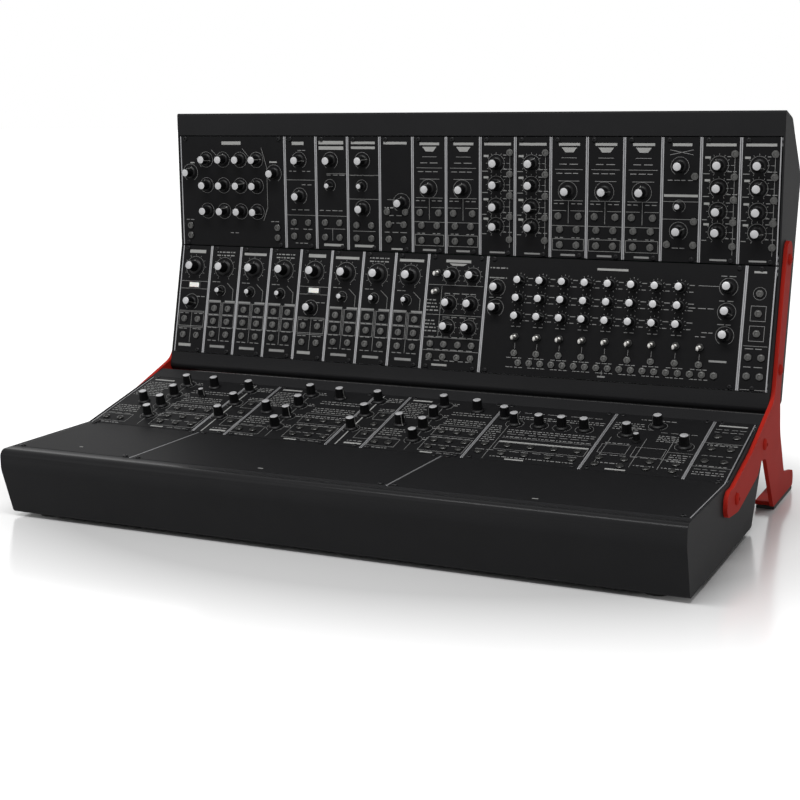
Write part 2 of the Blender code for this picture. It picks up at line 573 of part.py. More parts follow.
MODULES = {
    "row_a": [
        module("", BANK_HP, knobs=BANK_KNOB_SHARES, jacks=BANK_JACK_SHARES),
        module("", NARROW_HP, knobs=SHAPER_KNOB_SHARES, jacks=LOW_JACK_SHARES),
        module("", NARROW_HP, knobs=CONTROL_KNOB_SHARES, trims=FILTER_TRIM_SHARES, jacks=PAIR_JACK_SHARES),
        module("", NARROW_HP, knobs=FILTER_KNOB_SHARES, trims=FILTER_TRIM_SHARES, jacks=LOW_JACK_SHARES),
        level(1, SIDE_LEVEL_SHARES), level(2, LEVEL_SHARES), level(3, LEVEL_SHARES),
        ATTENUATOR, ATTENUATOR, AMPLIFIER, AMPLIFIER, AMPLIFIER,
        module("", NARROW_HP, knobs=TIMER_KNOB_SHARES, trims=TIMER_TRIM_SHARES, jacks=SIDE_JACK_SHARES),
        ATTENUATOR, ATTENUATOR],
    "row_b": [
        driver(1, 1), oscillator(2), oscillator(3), oscillator(4),
        driver(5, 2), oscillator(6), oscillator(7), oscillator(8),
        module("mixer_module", MIXER_HP, knobs=MIXER_KNOB_SHARES, jacks=MIXER_JACK_SHARES,
               toggles=numbered("mixer_switch", 1, MIXER_SWITCH_SHARES)),
        module("sequencer_module", SEQUENCER_HP, knobs=STEP_SIDE_SHARES, steps=STEP_KNOB_SHARES,
               jacks=STEP_JACK_SHARES, toggles=numbered("step_switch", 1, STEP_SWITCH_SHARES)),
        module("output_module", OUTPUT_HP, jacks=OUTPUT_JACK_SHARES)],
    "row_c": [
        module("", GENERATOR_HP[0], knobs=FIRST_KNOB_SHARES, trims=FIRST_TRIM_SHARES,
               jacks=GENERATOR_JACK_SHARES),
        THREE_KNOBS,
        module("", GENERATOR_HP[1], knobs=SECOND_KNOB_SHARES, jacks=GENERATOR_JACK_SHARES),
        THREE_KNOBS,
        module("", GENERATOR_HP[2], knobs=THIRD_KNOB_SHARES, jacks=GENERATOR_JACK_SHARES),
        module("", ARRAY_HP, knobs=ARRAY_KNOB_SHARES, jacks=ARRAY_JACK_SHARES),
        module("", STAGE_HP, knobs=STAGE_KNOB_SHARES, trims=STAGE_TRIM_SHARES, jacks=STAGE_JACK_SHARES),
        module("", NARROW_HP, jacks=PATCH_JACK_SHARES)],
    "row_d": [module("blank_panel_left", BANK_HP), module("blank_panel_middle", BLANK_HP),
              module("blank_panel_right", BLANK_HP)]}


class RowParts:
    """The meshes of one node of a row: panels, what is fused to them and what is cut out."""

    def __init__(self):
        self.panels = bmesh.new()
        self.controls = bmesh.new()
        self.boards = bmesh.new()
        self.holes = bmesh.new()

    def add_body(self, half_x, half_y, spot):
        """The body of a potentiometer or a switch, from the panel back to the board."""
        back = -PANEL_THICKNESS
        stack(self.controls, [rectangle(half_x, half_y, back - BODY_DEPTH - SINK),
                              rectangle(half_x, half_y, back + SINK)], spot)

    def add_board(self, start, width):
        """The board of one module, over the height between the rails."""
        edge = RAIL_WIDTH + BOARD_MARGIN
        back = -PANEL_THICKNESS - BODY_DEPTH
        box(self.boards, (start + BOARD_MARGIN, edge, back - BOARD_THICKNESS),
            (start + width - BOARD_MARGIN, PANEL_HEIGHT - edge, back))

    def finish(self, name, place):
        """Fuses the controls and boards to the panels and takes out the holes."""
        node = add_object(name, self.panels, BLACK_PANEL, place)
        pieces = ((self.controls, "_controls", "UNION"), (self.boards, "_boards", "UNION"),
                  (self.holes, "_holes", "DIFFERENCE"))
        for builder, suffix, operation in pieces:
            if builder.verts:
                combine(node, add_object(name + suffix, builder, BLACK_PANEL, place), operation)
            else:
                builder.free()


def add_moving_pieces(parts, unit, spot, place, large):
    """The turning knobs, levers and rockers of a module, with what holds each one in its panel."""
    for name, *share in unit["turning"]:
        add_turning_knob(name, LARGE_KNOB if large else MEDIUM_KNOB, place @ spot(share))
        parts.add_body(POT_WIDTH / 2, POT_LENGTH / 2, spot(share))
        bore = [clear_circle(SHAFT_RADIUS + GAP, z, SMALL_SIDES) for z in (-SHAFT_LENGTH - GAP, OVERRUN)]
        stack(parts.holes, bore, spot(share))
    for name, *share in unit["toggles"]:
        add_lever(name, place @ spot(share))
        nut = [circle(COLLAR_RADIUS, z, SMALL_SIDES) for z in (-SINK, COLLAR_HEIGHT)]
        stack(parts.controls, nut, spot(share))
        floor = PIVOT_HEIGHT - LEVER_BALL - GAP
        bore = [clear_circle(COLLAR_BORE, z, SMALL_SIDES) for z in (floor, COLLAR_HEIGHT + OVERRUN)]
        stack(parts.holes, bore, spot(share))
    for name, *share in unit["rockers"]:
        add_paddle(name, RANGE_ROCKER, place @ spot(share), WHITE_PLASTIC)
        half_x, half_y, depth = rocker_well(RANGE_ROCKER)
        parts.add_body(half_x + FRAME_WALL, half_y + FRAME_WALL, spot(share))
        stack(parts.holes, [rectangle(half_x, half_y, z) for z in (-depth, OVERRUN)], spot(share))


def add_module(parts, unit, start, place, own_node):
    """One module at its start along the row, with its moving pieces as nodes of their own."""
    width = unit["width"] * HP
    box(parts.panels, (start + PANEL_SLIT / 2, 0, -PANEL_THICKNESS),
        (start + width - PANEL_SLIT / 2, PANEL_HEIGHT, 0))

    def spot(share):
        return Matrix.Translation((start + share[0] * width, share[1] * PANEL_HEIGHT, 0))

    add_moving_pieces(parts, unit, spot, place, own_node)
    nut = [circle(JACK_RADIUS, z, SMALL_SIDES) for z in (-SINK, JACK_HEIGHT)]
    for share in unit["jacks"]:
        stack(parts.controls, nut, spot(share))
    for share in unit["knobs"]:
        stack(parts.controls, skirted_knob(MEDIUM_KNOB), spot(share))
    for kind, size in (("steps", STEP_KNOB), ("trims", TRIM_KNOB)):
        for share in unit[kind]:
            stack(parts.controls, plain_knob(size), spot(share))
    fixed = [*unit["knobs"], *unit["trims"]]
    if own_node and fixed:
        for share in (fixed[0], fixed[-1]) if len(fixed) > 1 else fixed:
            parts.add_body(POT_WIDTH / 2, POT_LENGTH / 2, spot(share))
    if unit["turning"] or own_node and fixed:
        parts.add_board(start, width)


def add_row(row):
    """A row: A and C are one node each, fused to their rails; B and D have a node for each module."""
    place = ROWS[row]
    shared = RowParts() if row in FUSED_ROWS else None
    start = -ROW_WIDTH / 2
    for unit in MODULES[row]:
        parts = shared or RowParts()
        add_module(parts, unit, start, place, shared is None)
        if not shared:
            parts.finish(unit["name"], place)
        start += unit["width"] * HP
    for name, rail_start in rail_places().items():
        if shared:
            add_rail(shared.controls, rail_start, -SINK)
        else:
            rail = bmesh.new()
            add_rail(rail, rail_start, GAP)
            add_object(row + "_" + name + "_rail", rail, BARE_ALUMINIUM, place)
    if shared:
        shared.finish(row + "_modules", place)


# Power: board with its supply and headers, inlet and power switch of each case
def add_power(name):
    """The electrics that a case holds and the fittings in its rear wall."""
    case = CASES[name]
    floor = WALL + GAP
    half_x, half_y = BUS_LENGTH / 2, BUS_WIDTH / 2
    board_low = floor + BUS_STANDOFF
    board_high = board_low + BOARD_THICKNESS
    place = case @ Matrix.Translation((0, BUS_SHARE * ROWS_DEPTH, 0))
    board = bmesh.new()
    box(board, (-half_x, -half_y, board_low), (half_x, half_y, board_high))
    fittings = bmesh.new()
    for x in (STANDOFF_RADIUS - half_x, half_x - STANDOFF_RADIUS):
        for y in (STANDOFF_RADIUS - half_y, half_y - STANDOFF_RADIUS):
            post = [circle(STANDOFF_RADIUS, z, SMALL_SIDES) for z in (floor, board_low + SINK)]
            stack(fittings, post, Matrix.Translation((x, y, 0)))
    length, depth, height = SUPPLY_SIZE
    top = board_high + height
    loops = [(length / 2, depth / 2, board_high - SINK), (length / 2, depth / 2, top - SUPPLY_BEVEL),
             (length / 2 - SUPPLY_BEVEL, depth / 2 - SUPPLY_BEVEL, top)]
    stack(fittings, [rectangle(*loop) for loop in loops])
    length, depth, height = HEADER_SIZE
    for i in range(HEADERS_ON_A_SIDE):
        for side in (-1, 1):
            x = side * (half_x - (i + 1) * HEADER_PITCH)
            box(fittings, (x - length / 2, -depth / 2, board_high - SINK),
                (x + length / 2, depth / 2, board_high + height))
    node = add_object(name + "_power_board", board, BOARD_GREEN, place)
    combine(node, add_object(name + "_power_fittings", fittings, BOARD_GREEN, place), "UNION")

    wall = rear_wall_frame(case)
    face = GAP + INLET_FLANGE
    bottom = INLET_FLANGE - INLET_DEPTH
    rings = [(INLET_RADIUS, -INLET_DEPTH), (INLET_RADIUS, GAP), (INLET_FLANGE_RADIUS, GAP),
             (INLET_FLANGE_RADIUS, face), (INLET_BORE, face), (INLET_BORE, bottom), (INLET_PIN, bottom),
             (INLET_PIN, 0)]
    inlet = bmesh.new()
    stack(inlet, [circle(r, z, LARGE_SIDES) for r, z in rings])
    add_object(name + "_dc_inlet", inlet, BLACK_PLASTIC, wall @ Matrix.Translation((INLET_OFFSET, 0, 0)))

    switch_place = wall @ Matrix.Translation((POWER_SWITCH_OFFSET, 0, 0))
    add_paddle(name + "_power_rocker", POWER_ROCKER, switch_place, BLACK_PLASTIC)


# Legs: a lambda shaped plate outside each end wall, with its sole turned in under it
def leg_outline():
    """Outline of a leg as (y, z) in the part's frame."""
    corners = []
    for frame, across, up, radius in LEG_CORNER_SHARES:
        spot = CASES[frame] @ Vector((0, across * ROWS_DEPTH, up * ROW_ONE_HEIGHT))
        corners.append((spot.y, spot.z, radius * ROW_ONE_HEIGHT))
    return rounded(corners)


def add_leg(name, side):
    """One leg with its bolts fused in, and the rubber pad under its sole."""
    inner = side * (OUTER_HALF + GAP)
    outer = inner + side * LEG_PLATE
    plate = bmesh.new()
    extrude(plate, leg_outline(), min(inner, outer), max(inner, outer))
    leg = add_object(name + "_leg", plate, RED_STEEL)
    heel = HEEL_SHARE * ROWS_DEPTH - CENTRE + LEG_PLATE
    toe = TOE_SHARE * ROWS_DEPTH - CENTRE - LEG_PLATE
    fused = bmesh.new()
    edges = sorted((inner - side * LEG_FLANGE, inner + side * LEG_PLATE / 2))
    box(fused, (edges[0], heel, LEG_SOLE), (edges[1], toe, LEG_SOLE + LEG_PLATE))
    for frame in ("lower", "upper"):
        for u, v in leg_bolt_places(frame):
            seat = GAP + LEG_PLATE - SINK
            rings = [(BOLT_RADIUS, -WALL - BOLT_REACH), (BOLT_RADIUS, seat), (BOLT_HEAD_RADIUS, seat),
                     (BOLT_RADIUS, seat + BOLT_HEAD_HEIGHT)]
            stack(fused, [circle(r, z, SMALL_SIDES) for r, z in rings], CASES[frame] @ bolt_axis(u, v, side))
    combine(leg, add_object(name + "_leg_sole_and_bolts", fused, RED_STEEL), "UNION")
    edges = sorted((inner - side * (LEG_FLANGE - PAD_MARGIN), outer))
    pad = bmesh.new()
    box(pad, (edges[0], heel, 0), (edges[1], toe, PAD_HEIGHT))
    add_object(name + "_leg_pad", pad, BLACK_RUBBER)


def add_feet():
    """Four low rubber feet under the lower case's base."""
    for side, x in (("left", FOOT_INSET - OUTER_HALF), ("right", OUTER_HALF - FOOT_INSET)):
        ends = (("front", FOOT_EDGE - FRONT_BASE), ("rear", REAR_FACE - REAR_UNDERCUT - FOOT_EDGE))
        for end, u in ends:
            foot = bmesh.new()
            rings = [(FOOT_RADIUS - FOOT_DRAFT, 0), (FOOT_RADIUS, FOOT_HEIGHT)]
            stack(foot, [circle(r, z, LARGE_SIDES) for r, z in rings])
            place = LOWER_CASE @ Matrix.Translation((x, u, -BASE_HEIGHT))
            add_object("%s_%s_foot" % (end, side), foot, BLACK_RUBBER, place)


for case_name in ("lower", "upper"):
    add_case(case_name)
    add_power(case_name)
for row_name in ROWS:
    add_row(row_name)
for leg_side, direction in (("left", -1), ("right", 1)):
    add_leg(leg_side, direction)
add_feet()
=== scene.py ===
"""Modular synthesizer: four rows of modules in two sheet steel cases, held by two steel legs.

Rows are named a to d from the top. A row's own frame has x along it, s up its panels and n out of them.
"""

import math

import bmesh
import bpy
from mathutils import Matrix, Vector


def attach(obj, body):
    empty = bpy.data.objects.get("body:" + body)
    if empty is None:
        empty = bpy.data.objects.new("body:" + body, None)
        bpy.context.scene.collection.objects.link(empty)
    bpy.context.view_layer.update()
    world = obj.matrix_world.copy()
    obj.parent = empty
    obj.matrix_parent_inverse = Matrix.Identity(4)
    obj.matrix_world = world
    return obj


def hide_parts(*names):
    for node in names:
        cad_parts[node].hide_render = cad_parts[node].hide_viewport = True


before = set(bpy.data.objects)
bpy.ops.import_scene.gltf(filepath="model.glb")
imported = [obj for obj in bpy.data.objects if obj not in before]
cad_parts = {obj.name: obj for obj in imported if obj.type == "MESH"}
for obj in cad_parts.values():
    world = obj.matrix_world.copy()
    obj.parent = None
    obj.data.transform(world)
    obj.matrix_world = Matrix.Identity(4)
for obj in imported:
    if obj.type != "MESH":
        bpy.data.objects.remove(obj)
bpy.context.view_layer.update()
MM = 0.001


# Camera: a short telephoto lens to the right of the object and a little above it,
# turned to the left and tipped down.
camera_data = bpy.data.cameras.new("camera")
camera_data.lens = 68.07
camera_data.sensor_width = 36
camera_data.clip_start = 0.05
camera_data.clip_end = 60
camera = bpy.data.objects.new("camera", camera_data)
bpy.context.collection.objects.link(camera)
CAMERA_TURN = math.radians(25.043)
CAMERA_TIP = math.radians(11.152)
CAMERA_ROLL = math.radians(-0.52)
camera.location = (0.6560, -1.4223, 0.4211)
aim = Matrix.Rotation(CAMERA_TURN, 4, "Z") @ Matrix.Rotation(math.pi / 2 - CAMERA_TIP, 4, "X")
camera.rotation_euler = (aim @ Matrix.Rotation(CAMERA_ROLL, 4, "Z")).to_euler()
bpy.context.scene.camera = camera
bpy.context.scene.view_settings.view_transform = "Standard"


# Floor: a glossy white acrylic sheet, as laid under a product on a photographer's table.
# It takes the object's shadow and mirrors its front.
RELIEF_DETAIL = 3.0
DRIFT_SIZE = 40
DRIFT_DETAIL = 2.0
WELD = 1e-7
SMOOTH_ANGLE = math.radians(35)
FLOOR_HALF = 20


def linear(code):
    """An sRGB hex colour as linear red, green, blue and full alpha."""
    values = [int(code[i:i + 2], 16) / 255 for i in (1, 3, 5)]
    return [v / 12.92 if v <= 0.04045 else ((v + 0.055) / 1.055) ** 2.4 for v in values] + [1]


def add_node(material, kind, settings=None, inputs=None):
    """A shader node with its settings and its inputs, which are values or (node, output name)."""
    tree = material.node_tree
    node = tree.nodes.new(kind)
    for name, value in (settings or {}).items():
        setattr(node, name, value)
    for name, value in (inputs or {}).items():
        if isinstance(value, tuple) and isinstance(value[0], bpy.types.Node):
            tree.links.new(value[0].outputs[value[1]], node.inputs[name])
        else:
            node.inputs[name].default_value = value
    return node


def wire(owner, *links):
    """Links of a material or a world, each from an output to an input of a node."""
    for source, node, name in links:
        owner.node_tree.links.new(source, node.inputs[name])


def surface(name, colour, roughness, metallic, grain, drift=None, spread=None, stretch=(1, 1, 1), **values):
    """A material of one Principled shader with fine relief, from the size and depth of its grain in mm.

    Its colour may drift between two others, and its roughness may spread between two values.
    """
    material = bpy.data.materials.new(name)
    material.use_nodes = True
    shader = material.node_tree.nodes["Principled BSDF"]
    values = {"Base Color": linear(colour), "Roughness": roughness, "Metallic": metallic, **values}
    for socket, value in values.items():
        shader.inputs[socket.replace("_", " ")].default_value = value
    size, depth = grain[0] * MM, grain[1] * MM
    place = add_node(material, "ShaderNodeTexCoord")
    mapping = add_node(material, "ShaderNodeMapping", inputs={"Vector": (place, "Object"), "Scale": stretch})
    noise = add_node(material, "ShaderNodeTexNoise",
                     inputs={"Vector": (mapping, "Vector"), "Scale": 1 / size, "Detail": RELIEF_DETAIL})
    bump = add_node(material, "ShaderNodeBump",
                    inputs={"Height": (noise, "Fac"), "Distance": depth, "Strength": 1.0})
    wire(material, (bump.outputs["Normal"], shader, "Normal"))
    if drift:
        cloud = add_node(material, "ShaderNodeTexNoise",
                         inputs={"Vector": (mapping, "Vector"), "Scale": 1 / (size * DRIFT_SIZE),
                                 "Detail": DRIFT_DETAIL})
        mix = add_node(material, "ShaderNodeMix", {"data_type": "RGBA"}, {"Factor": (cloud, "Fac")})
        mix.inputs[6].default_value, mix.inputs[7].default_value = linear(drift[0]), linear(drift[1])
        wire(material, (mix.outputs[2], shader, "Base Color"))
    if spread:
        uneven = add_node(material, "ShaderNodeMapRange",
                          inputs={"Value": (noise, "Fac"), "To Min": spread[0], "To Max": spread[1]})
        wire(material, (uneven.outputs["Result"], shader, "Roughness"))
    return material


def mesh_object(name, builder, material, smooth_angle=SMOOTH_ANGLE):
    """One object at the origin from a finished bmesh, smooth but for its edges."""
    bmesh.ops.remove_doubles(builder, verts=builder.verts, dist=WELD)
    bmesh.ops.recalc_face_normals(builder, faces=builder.faces)
    mesh = bpy.data.meshes.new(name)
    builder.to_mesh(mesh)
    builder.free()
    if material:
        mesh.materials.append(material)
    mesh.shade_smooth()
    mesh.set_sharp_from_angle(angle=smooth_angle)
    thing = bpy.data.objects.new(name, mesh)
    bpy.context.collection.objects.link(thing)
    return thing


def background_rays(owner):
    """1 for the rays that see the white background: from the camera, mirrored or passed through."""
    path = add_node(owner, "ShaderNodeLightPath")
    either = add_node(owner, "ShaderNodeMath", {"operation": "MAXIMUM"})
    seen = add_node(owner, "ShaderNodeMath", {"operation": "MAXIMUM"})
    wire(owner, (path.outputs["Is Camera Ray"], either, 0), (path.outputs["Is Glossy Ray"], either, 1),
         (either.outputs["Value"], seen, 0), (path.outputs["Is Transmission Ray"], seen, 1))
    return seen


# Cast acrylic: even white, polished, with the faint unevenness of a cast sheet in its mirror image.
floor_acrylic = surface("white cast acrylic sheet", "#e2e2e2", 0.17, 0, (30, 0.01), IOR=2.1)
floor_shader = floor_acrylic.node_tree.nodes["Principled BSDF"]
# Painted light: emission on the sheet, seen only by the rays that see the background, brings it to white away
# from the object. It fades out in an oval round where the object stands, which leaves painted shade there.
SHADE_OVAL_X, SHADE_OVAL_Y = 0.52, 0.36
PAINTED_LIGHT_START, PAINTED_LIGHT_END = 0.8, 1.25
PAINTED_LIGHT_STRENGTH = 0.5
place = add_node(floor_acrylic, "ShaderNodeTexCoord")
shade_oval = add_node(floor_acrylic, "ShaderNodeMapping",
                inputs={"Vector": (place, "Object"), "Scale": (1 / SHADE_OVAL_X, 1 / SHADE_OVAL_Y, 1)})
reach = add_node(floor_acrylic, "ShaderNodeVectorMath", {"operation": "LENGTH"}, {"Vector": (shade_oval, "Vector")})
# The painted light grows from none inside the oval to full strength beyond it.
painted_light_level = add_node(floor_acrylic, "ShaderNodeMapRange",
               inputs={"Value": (reach, "Value"), "From Min": PAINTED_LIGHT_START, "From Max": PAINTED_LIGHT_END,
                       "To Min": 0.0, "To Max": PAINTED_LIGHT_STRENGTH})
painted_floor_light = add_node(floor_acrylic, "ShaderNodeEmission",
                inputs={"Color": (1, 1, 1, 1), "Strength": (painted_light_level, "Result")})
seen = background_rays(floor_acrylic)
veil = add_node(floor_acrylic, "ShaderNodeMixShader", inputs={"Fac": (seen, "Value")})
added = add_node(floor_acrylic, "ShaderNodeAddShader")
output = floor_acrylic.node_tree.nodes["Material Output"]
wire(floor_acrylic, (floor_shader.outputs["BSDF"], added, 0), (painted_floor_light.outputs["Emission"], added, 1),
     (floor_shader.outputs["BSDF"], veil, 1), (added.outputs["Shader"], veil, 2),
     (veil.outputs["Shader"], output, 0))
builder = bmesh.new()
bmesh.ops.create_grid(builder, x_segments=1, y_segments=1, size=FLOOR_HALF)
floor = mesh_object("floor", builder, floor_acrylic)


# Studio light: a white world that the camera and every mirror see at full strength, and that lights
# the object weakly, a strip soft box overhead and a square one at the front left.
WORLD_LIGHT = 0.24
world = bpy.data.worlds.new("white studio")
bpy.context.scene.world = world
world.use_nodes = True
background = world.node_tree.nodes["Background"]
seen = background_rays(world)
strength = add_node(world, "ShaderNodeMapRange",
                    inputs={"Value": (seen, "Value"), "To Min": WORLD_LIGHT, "To Max": 1.0})
wire(world, (strength.outputs["Result"], background, "Strength"))
background.inputs["Color"].default_value = (1, 1, 1, 1)


def soft_box(name, spot, target, size, depth, power):
    """A rectangular area light that looks at a point."""
    data = bpy.data.lights.new(name, "AREA")
    data.shape = "RECTANGLE"
    data.size = size
    data.size_y = depth
    data.energy = power
    lamp = bpy.data.objects.new(name, data)
    lamp.location = spot
    lamp.rotation_euler = (Vector(target) - Vector(spot)).to_track_quat("-Z", "Y").to_euler()
    bpy.context.collection.objects.link(lamp)


soft_box("overhead strip box", (0.0, -0.95, 2.0), (0, 0, 0.2), 1.8, 0.5, 42)
soft_box("front soft box", (-1.3, -2.0, 1.2), (0, 0, 0.2), 1.2, 1.2, 5)


# Cases: 2 mm sheet steel, folded to a tub with a rim at the front and one at the back,
# end walls welded in, black powder coat over all. Both cases are the same pressing.
HP = 5.08 * MM
ROW_HP = 140
PANEL_HEIGHT = 128.5 * MM
PANEL_THICKNESS = 2.0 * MM
ROW_GAP = 1.0 * MM
ROW_TWO_TILT = math.radians(13.5)
WALL = 2.0 * MM
ROW_ONE_HEIGHT = 70.0 * MM
RIM_GAP = 0.6 * MM
FRONT_RIM = 22.2 * MM
FRONT_BASE = 6.0 * MM
FRONT_UPRIGHT = 20.0 * MM
REAR_RIM = 27.2 * MM
REAR_UPRIGHT = 36.0 * MM
REAR_UNDERCUT = 46.0 * MM
STEP_BACK = 45.5 * MM
STEP_UP = 24.2 * MM
TOE_SHARE = 1.670
GAP = 0.3 * MM
FOOT_HEIGHT = 4.0 * MM
OVERRUN = 4.0 * MM
INLET_OFFSET = 300.0 * MM
INLET_HOLE = 6.4 * MM
INLET_SIDES = 48
POWER_HOLE = (9.4 * MM, 6.4 * MM)
POWER_SWITCH_OFFSET = 265.0 * MM
REAR_FITTING_SHARE = 0.42

ROW_WIDTH = ROW_HP * HP
INNER_HALF = ROW_WIDTH / 2 + 1.0 * MM
OUTER_HALF = INNER_HALF + WALL
ROW_TWO_START = PANEL_HEIGHT + ROW_GAP
ROWS_DEPTH = ROW_TWO_START + PANEL_HEIGHT * math.cos(ROW_TWO_TILT)
ROWS_HEIGHT = ROW_ONE_HEIGHT + PANEL_HEIGHT * math.sin(ROW_TWO_TILT)
REAR_FACE = ROWS_DEPTH + REAR_RIM * math.cos(ROW_TWO_TILT)
REAR_TOP = ROWS_HEIGHT + REAR_RIM * math.sin(ROW_TWO_TILT)
CENTRE = (TOE_SHARE * ROWS_DEPTH - FRONT_RIM) / 2
LOWER_CASE = Matrix.Translation((0, -CENTRE, FOOT_HEIGHT + GAP))
ROW_ONE = Matrix.Translation((0, 0, ROW_ONE_HEIGHT))
ROW_TWO = Matrix.Translation((0, ROW_TWO_START, ROW_ONE_HEIGHT)) @ Matrix.Rotation(ROW_TWO_TILT, 4, "X")
UPPER_CORNER = LOWER_CASE @ Vector((0, ROWS_DEPTH + STEP_BACK, ROWS_HEIGHT + STEP_UP))
UPPER_TURN = Matrix.Rotation(math.pi / 2 - ROW_TWO_TILT, 4, "X")
UPPER_CASE = Matrix.Translation(UPPER_CORNER) @ UPPER_TURN @ ROW_ONE.inverted()
CASES = {"lower": LOWER_CASE, "upper": UPPER_CASE}
ROWS = {"a": UPPER_CASE @ ROW_TWO, "b": UPPER_CASE @ ROW_ONE,
        "c": LOWER_CASE @ ROW_TWO, "d": LOWER_CASE @ ROW_ONE}

# Powder coat: baked polyester, semi-matt, with the fine orange peel of a thick sprayed film.
black_coat = surface("black powder coat", "#1f1f20", 0.6, 0, (0.9, 0.035), ("#1d1d1e", "#212122"),
                     (0.54, 0.66), Specular_IOR_Level=0.06)
# Hands have burnished the coat along the front bend, so it takes a sharper light there.
BEND_REACH = 9.0 * MM
BURNISHED = 0.2
black_shader = black_coat.node_tree.nodes["Principled BSDF"]
handled = add_node(black_coat, "ShaderNodeAttribute", {"attribute_name": "handled"})
burnish = add_node(black_coat, "ShaderNodeMix", {"data_type": "FLOAT"},
                   {"Factor": (handled, "Fac"), "B": BURNISHED})
wire(black_coat, (black_shader.inputs["Roughness"].links[0].from_socket, burnish, 2),
     (burnish.outputs[0], black_shader, "Roughness"))
ARC_STEP = math.radians(5)
BEVEL_ANGLE = math.radians(40)


def bridge(builder, rings):
    """Quads from each ring of corners to the next."""
    for low, high in zip(rings, rings[1:]):
        for i in range(len(low)):
            j = (i + 1) % len(low)
            builder.faces.new((low[i], low[j], high[j], high[i]))


def stack(builder, loops, place=Matrix.Identity(4)):
    """Bridges loops of equal length one after another and caps both ends."""
    rings = [[builder.verts.new(place @ Vector(point)) for point in loop] for loop in loops]
    bridge(builder, rings)
    builder.faces.new(list(reversed(rings[0])))
    builder.faces.new(rings[-1])


def rounded(corners, closed=True):
    """Turns corners of (x, y, radius) into points, with an arc at each corner that has a radius."""
    points = []
    count = len(corners)
    for i, (x, y, radius) in enumerate(corners):
        corner = Vector((x, y))
        if radius == 0 or (not closed and i in (0, count - 1)):
            points.append(corner)
            continue
        before = (Vector(corners[i - 1][:2]) - corner).normalized()
        after = (Vector(corners[(i + 1) % count][:2]) - corner).normalized()
        half = before.angle(after) / 2
        turn = math.pi - 2 * half
        centre = corner + (before + after).normalized() * (radius / math.sin(half))
        start = corner + before * (radius / math.tan(half)) - centre
        sign = -1 if before.x * after.y - before.y * after.x > 0 else 1
        steps = max(1, math.ceil(turn / ARC_STEP))
        for k in range(steps + 1):
            points.append(centre + Matrix.Rotation(sign * turn * k / steps, 2) @ start)
    return [(point.x, point.y) for point in points]


def inset(line, distance):
    """An open line of (u, v) points moved to its left by a distance."""
    moved = []
    for i, point in enumerate(line):
        nearby = [j for j in (i - 1, i) if 0 <= j < len(line) - 1]
        runs = [(Vector(line[j + 1]) - Vector(line[j])).normalized() for j in nearby]
        normals = [Vector((-run.y, run.x)) for run in runs]
        middle = sum(normals, Vector((0, 0))).normalized()
        here = Vector(point) + middle * (distance / middle.dot(normals[0]))
        moved.append((here.x, here.y))
    return moved


def turned(points, sides, flute=0.0):
    """Rings round z from (radius, height) or (radius, height, fluted) points."""
    rings = []
    for radius, z, *fluted in points:
        dip = flute if fluted else 0.0
        rings.append([((radius - dip * (i % 2)) * math.cos(math.tau * i / sides),
                       (radius - dip * (i % 2)) * math.sin(math.tau * i / sides), z) for i in range(sides)])
    return rings


def rectangle(half_x, half_y, z):
    """Corners of a rectangle about the z axis."""
    return [(half_x, half_y, z), (-half_x, half_y, z), (-half_x, -half_y, z), (half_x, -half_y, z)]


def cut(thing, tool):
    """Takes the tool's shape out of a piece."""
    modifier = thing.modifiers.new("cut", "BOOLEAN")
    modifier.operation = "DIFFERENCE"
    modifier.solver = "EXACT"
    modifier.object = tool
    settle(thing)
    bpy.data.objects.remove(tool)


def settle(thing):
    """Turns a piece's modifiers into plain mesh."""
    evaluated = thing.evaluated_get(bpy.context.evaluated_depsgraph_get())
    mesh = bpy.data.meshes.new_from_object(evaluated)
    thing.modifiers.clear()
    thing.data = mesh


def soften(thing, width, segments=2):
    """Rounds a piece's sharp edges a little, as coating, moulding or tumbling does."""
    modifier = thing.modifiers.new("soften", "BEVEL")
    modifier.width = width
    modifier.segments = segments
    modifier.limit_method = "ANGLE"
    modifier.angle_limit = BEVEL_ANGLE
    modifier.use_clamp_overlap = True
    settle(thing)
    thing.data.shade_smooth()
    thing.data.set_sharp_from_angle(angle=SMOOTH_ANGLE)
    flatten = thing.modifiers.new("flatten", "WEIGHTED_NORMAL")
    flatten.keep_sharp = True
    settle(thing)


def keep(piece, body, slot, *nodes):
    """Rides a finished piece on its body and hides the nodes that it stands for. The slot is not used."""
    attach(piece, body)
    if nodes:
        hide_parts(*nodes)


def rear_wall_frame(case):
    """A frame on the leaning rear wall, with z out of the wall and x along the case."""
    foot = Vector((0, REAR_FACE - REAR_UNDERCUT, 0))
    head = Vector((0, REAR_FACE, REAR_TOP - REAR_UPRIGHT))
    along = (head - foot).normalized()
    out = Vector((1, 0, 0)).cross(along) * -1
    spot = foot + (head - foot) * REAR_FITTING_SHARE
    axes = Matrix(((-1, along.x, out.x, 0), (0, along.y, out.y, 0), (0, along.z, out.z, 0), (0, 0, 0, 1)))
    return case @ Matrix.Translation(spot) @ axes


lip_u = ROWS_DEPTH + RIM_GAP * math.cos(ROW_TWO_TILT)
lip_v = ROWS_HEIGHT + RIM_GAP * math.sin(ROW_TWO_TILT)
case_line = rounded([
    (-RIM_GAP, ROW_ONE_HEIGHT, 0), (-FRONT_RIM, ROW_ONE_HEIGHT, 8 * MM),
    (-FRONT_RIM, ROW_ONE_HEIGHT - FRONT_UPRIGHT, 24 * MM), (-FRONT_BASE, 0, 5 * MM),
    (REAR_FACE - REAR_UNDERCUT, 0, 5 * MM), (REAR_FACE, REAR_TOP - REAR_UPRIGHT, 14 * MM),
    (REAR_FACE, REAR_TOP, 2.4 * MM), (lip_u, lip_v, 0)], closed=False)
inner_line = inset(case_line, WALL)
mouth = [(inner_line[-1][0], inner_line[-1][1] + OVERRUN), (ROW_TWO_START, ROW_ONE_HEIGHT + OVERRUN),
         (inner_line[0][0], inner_line[0][1] + OVERRUN)]
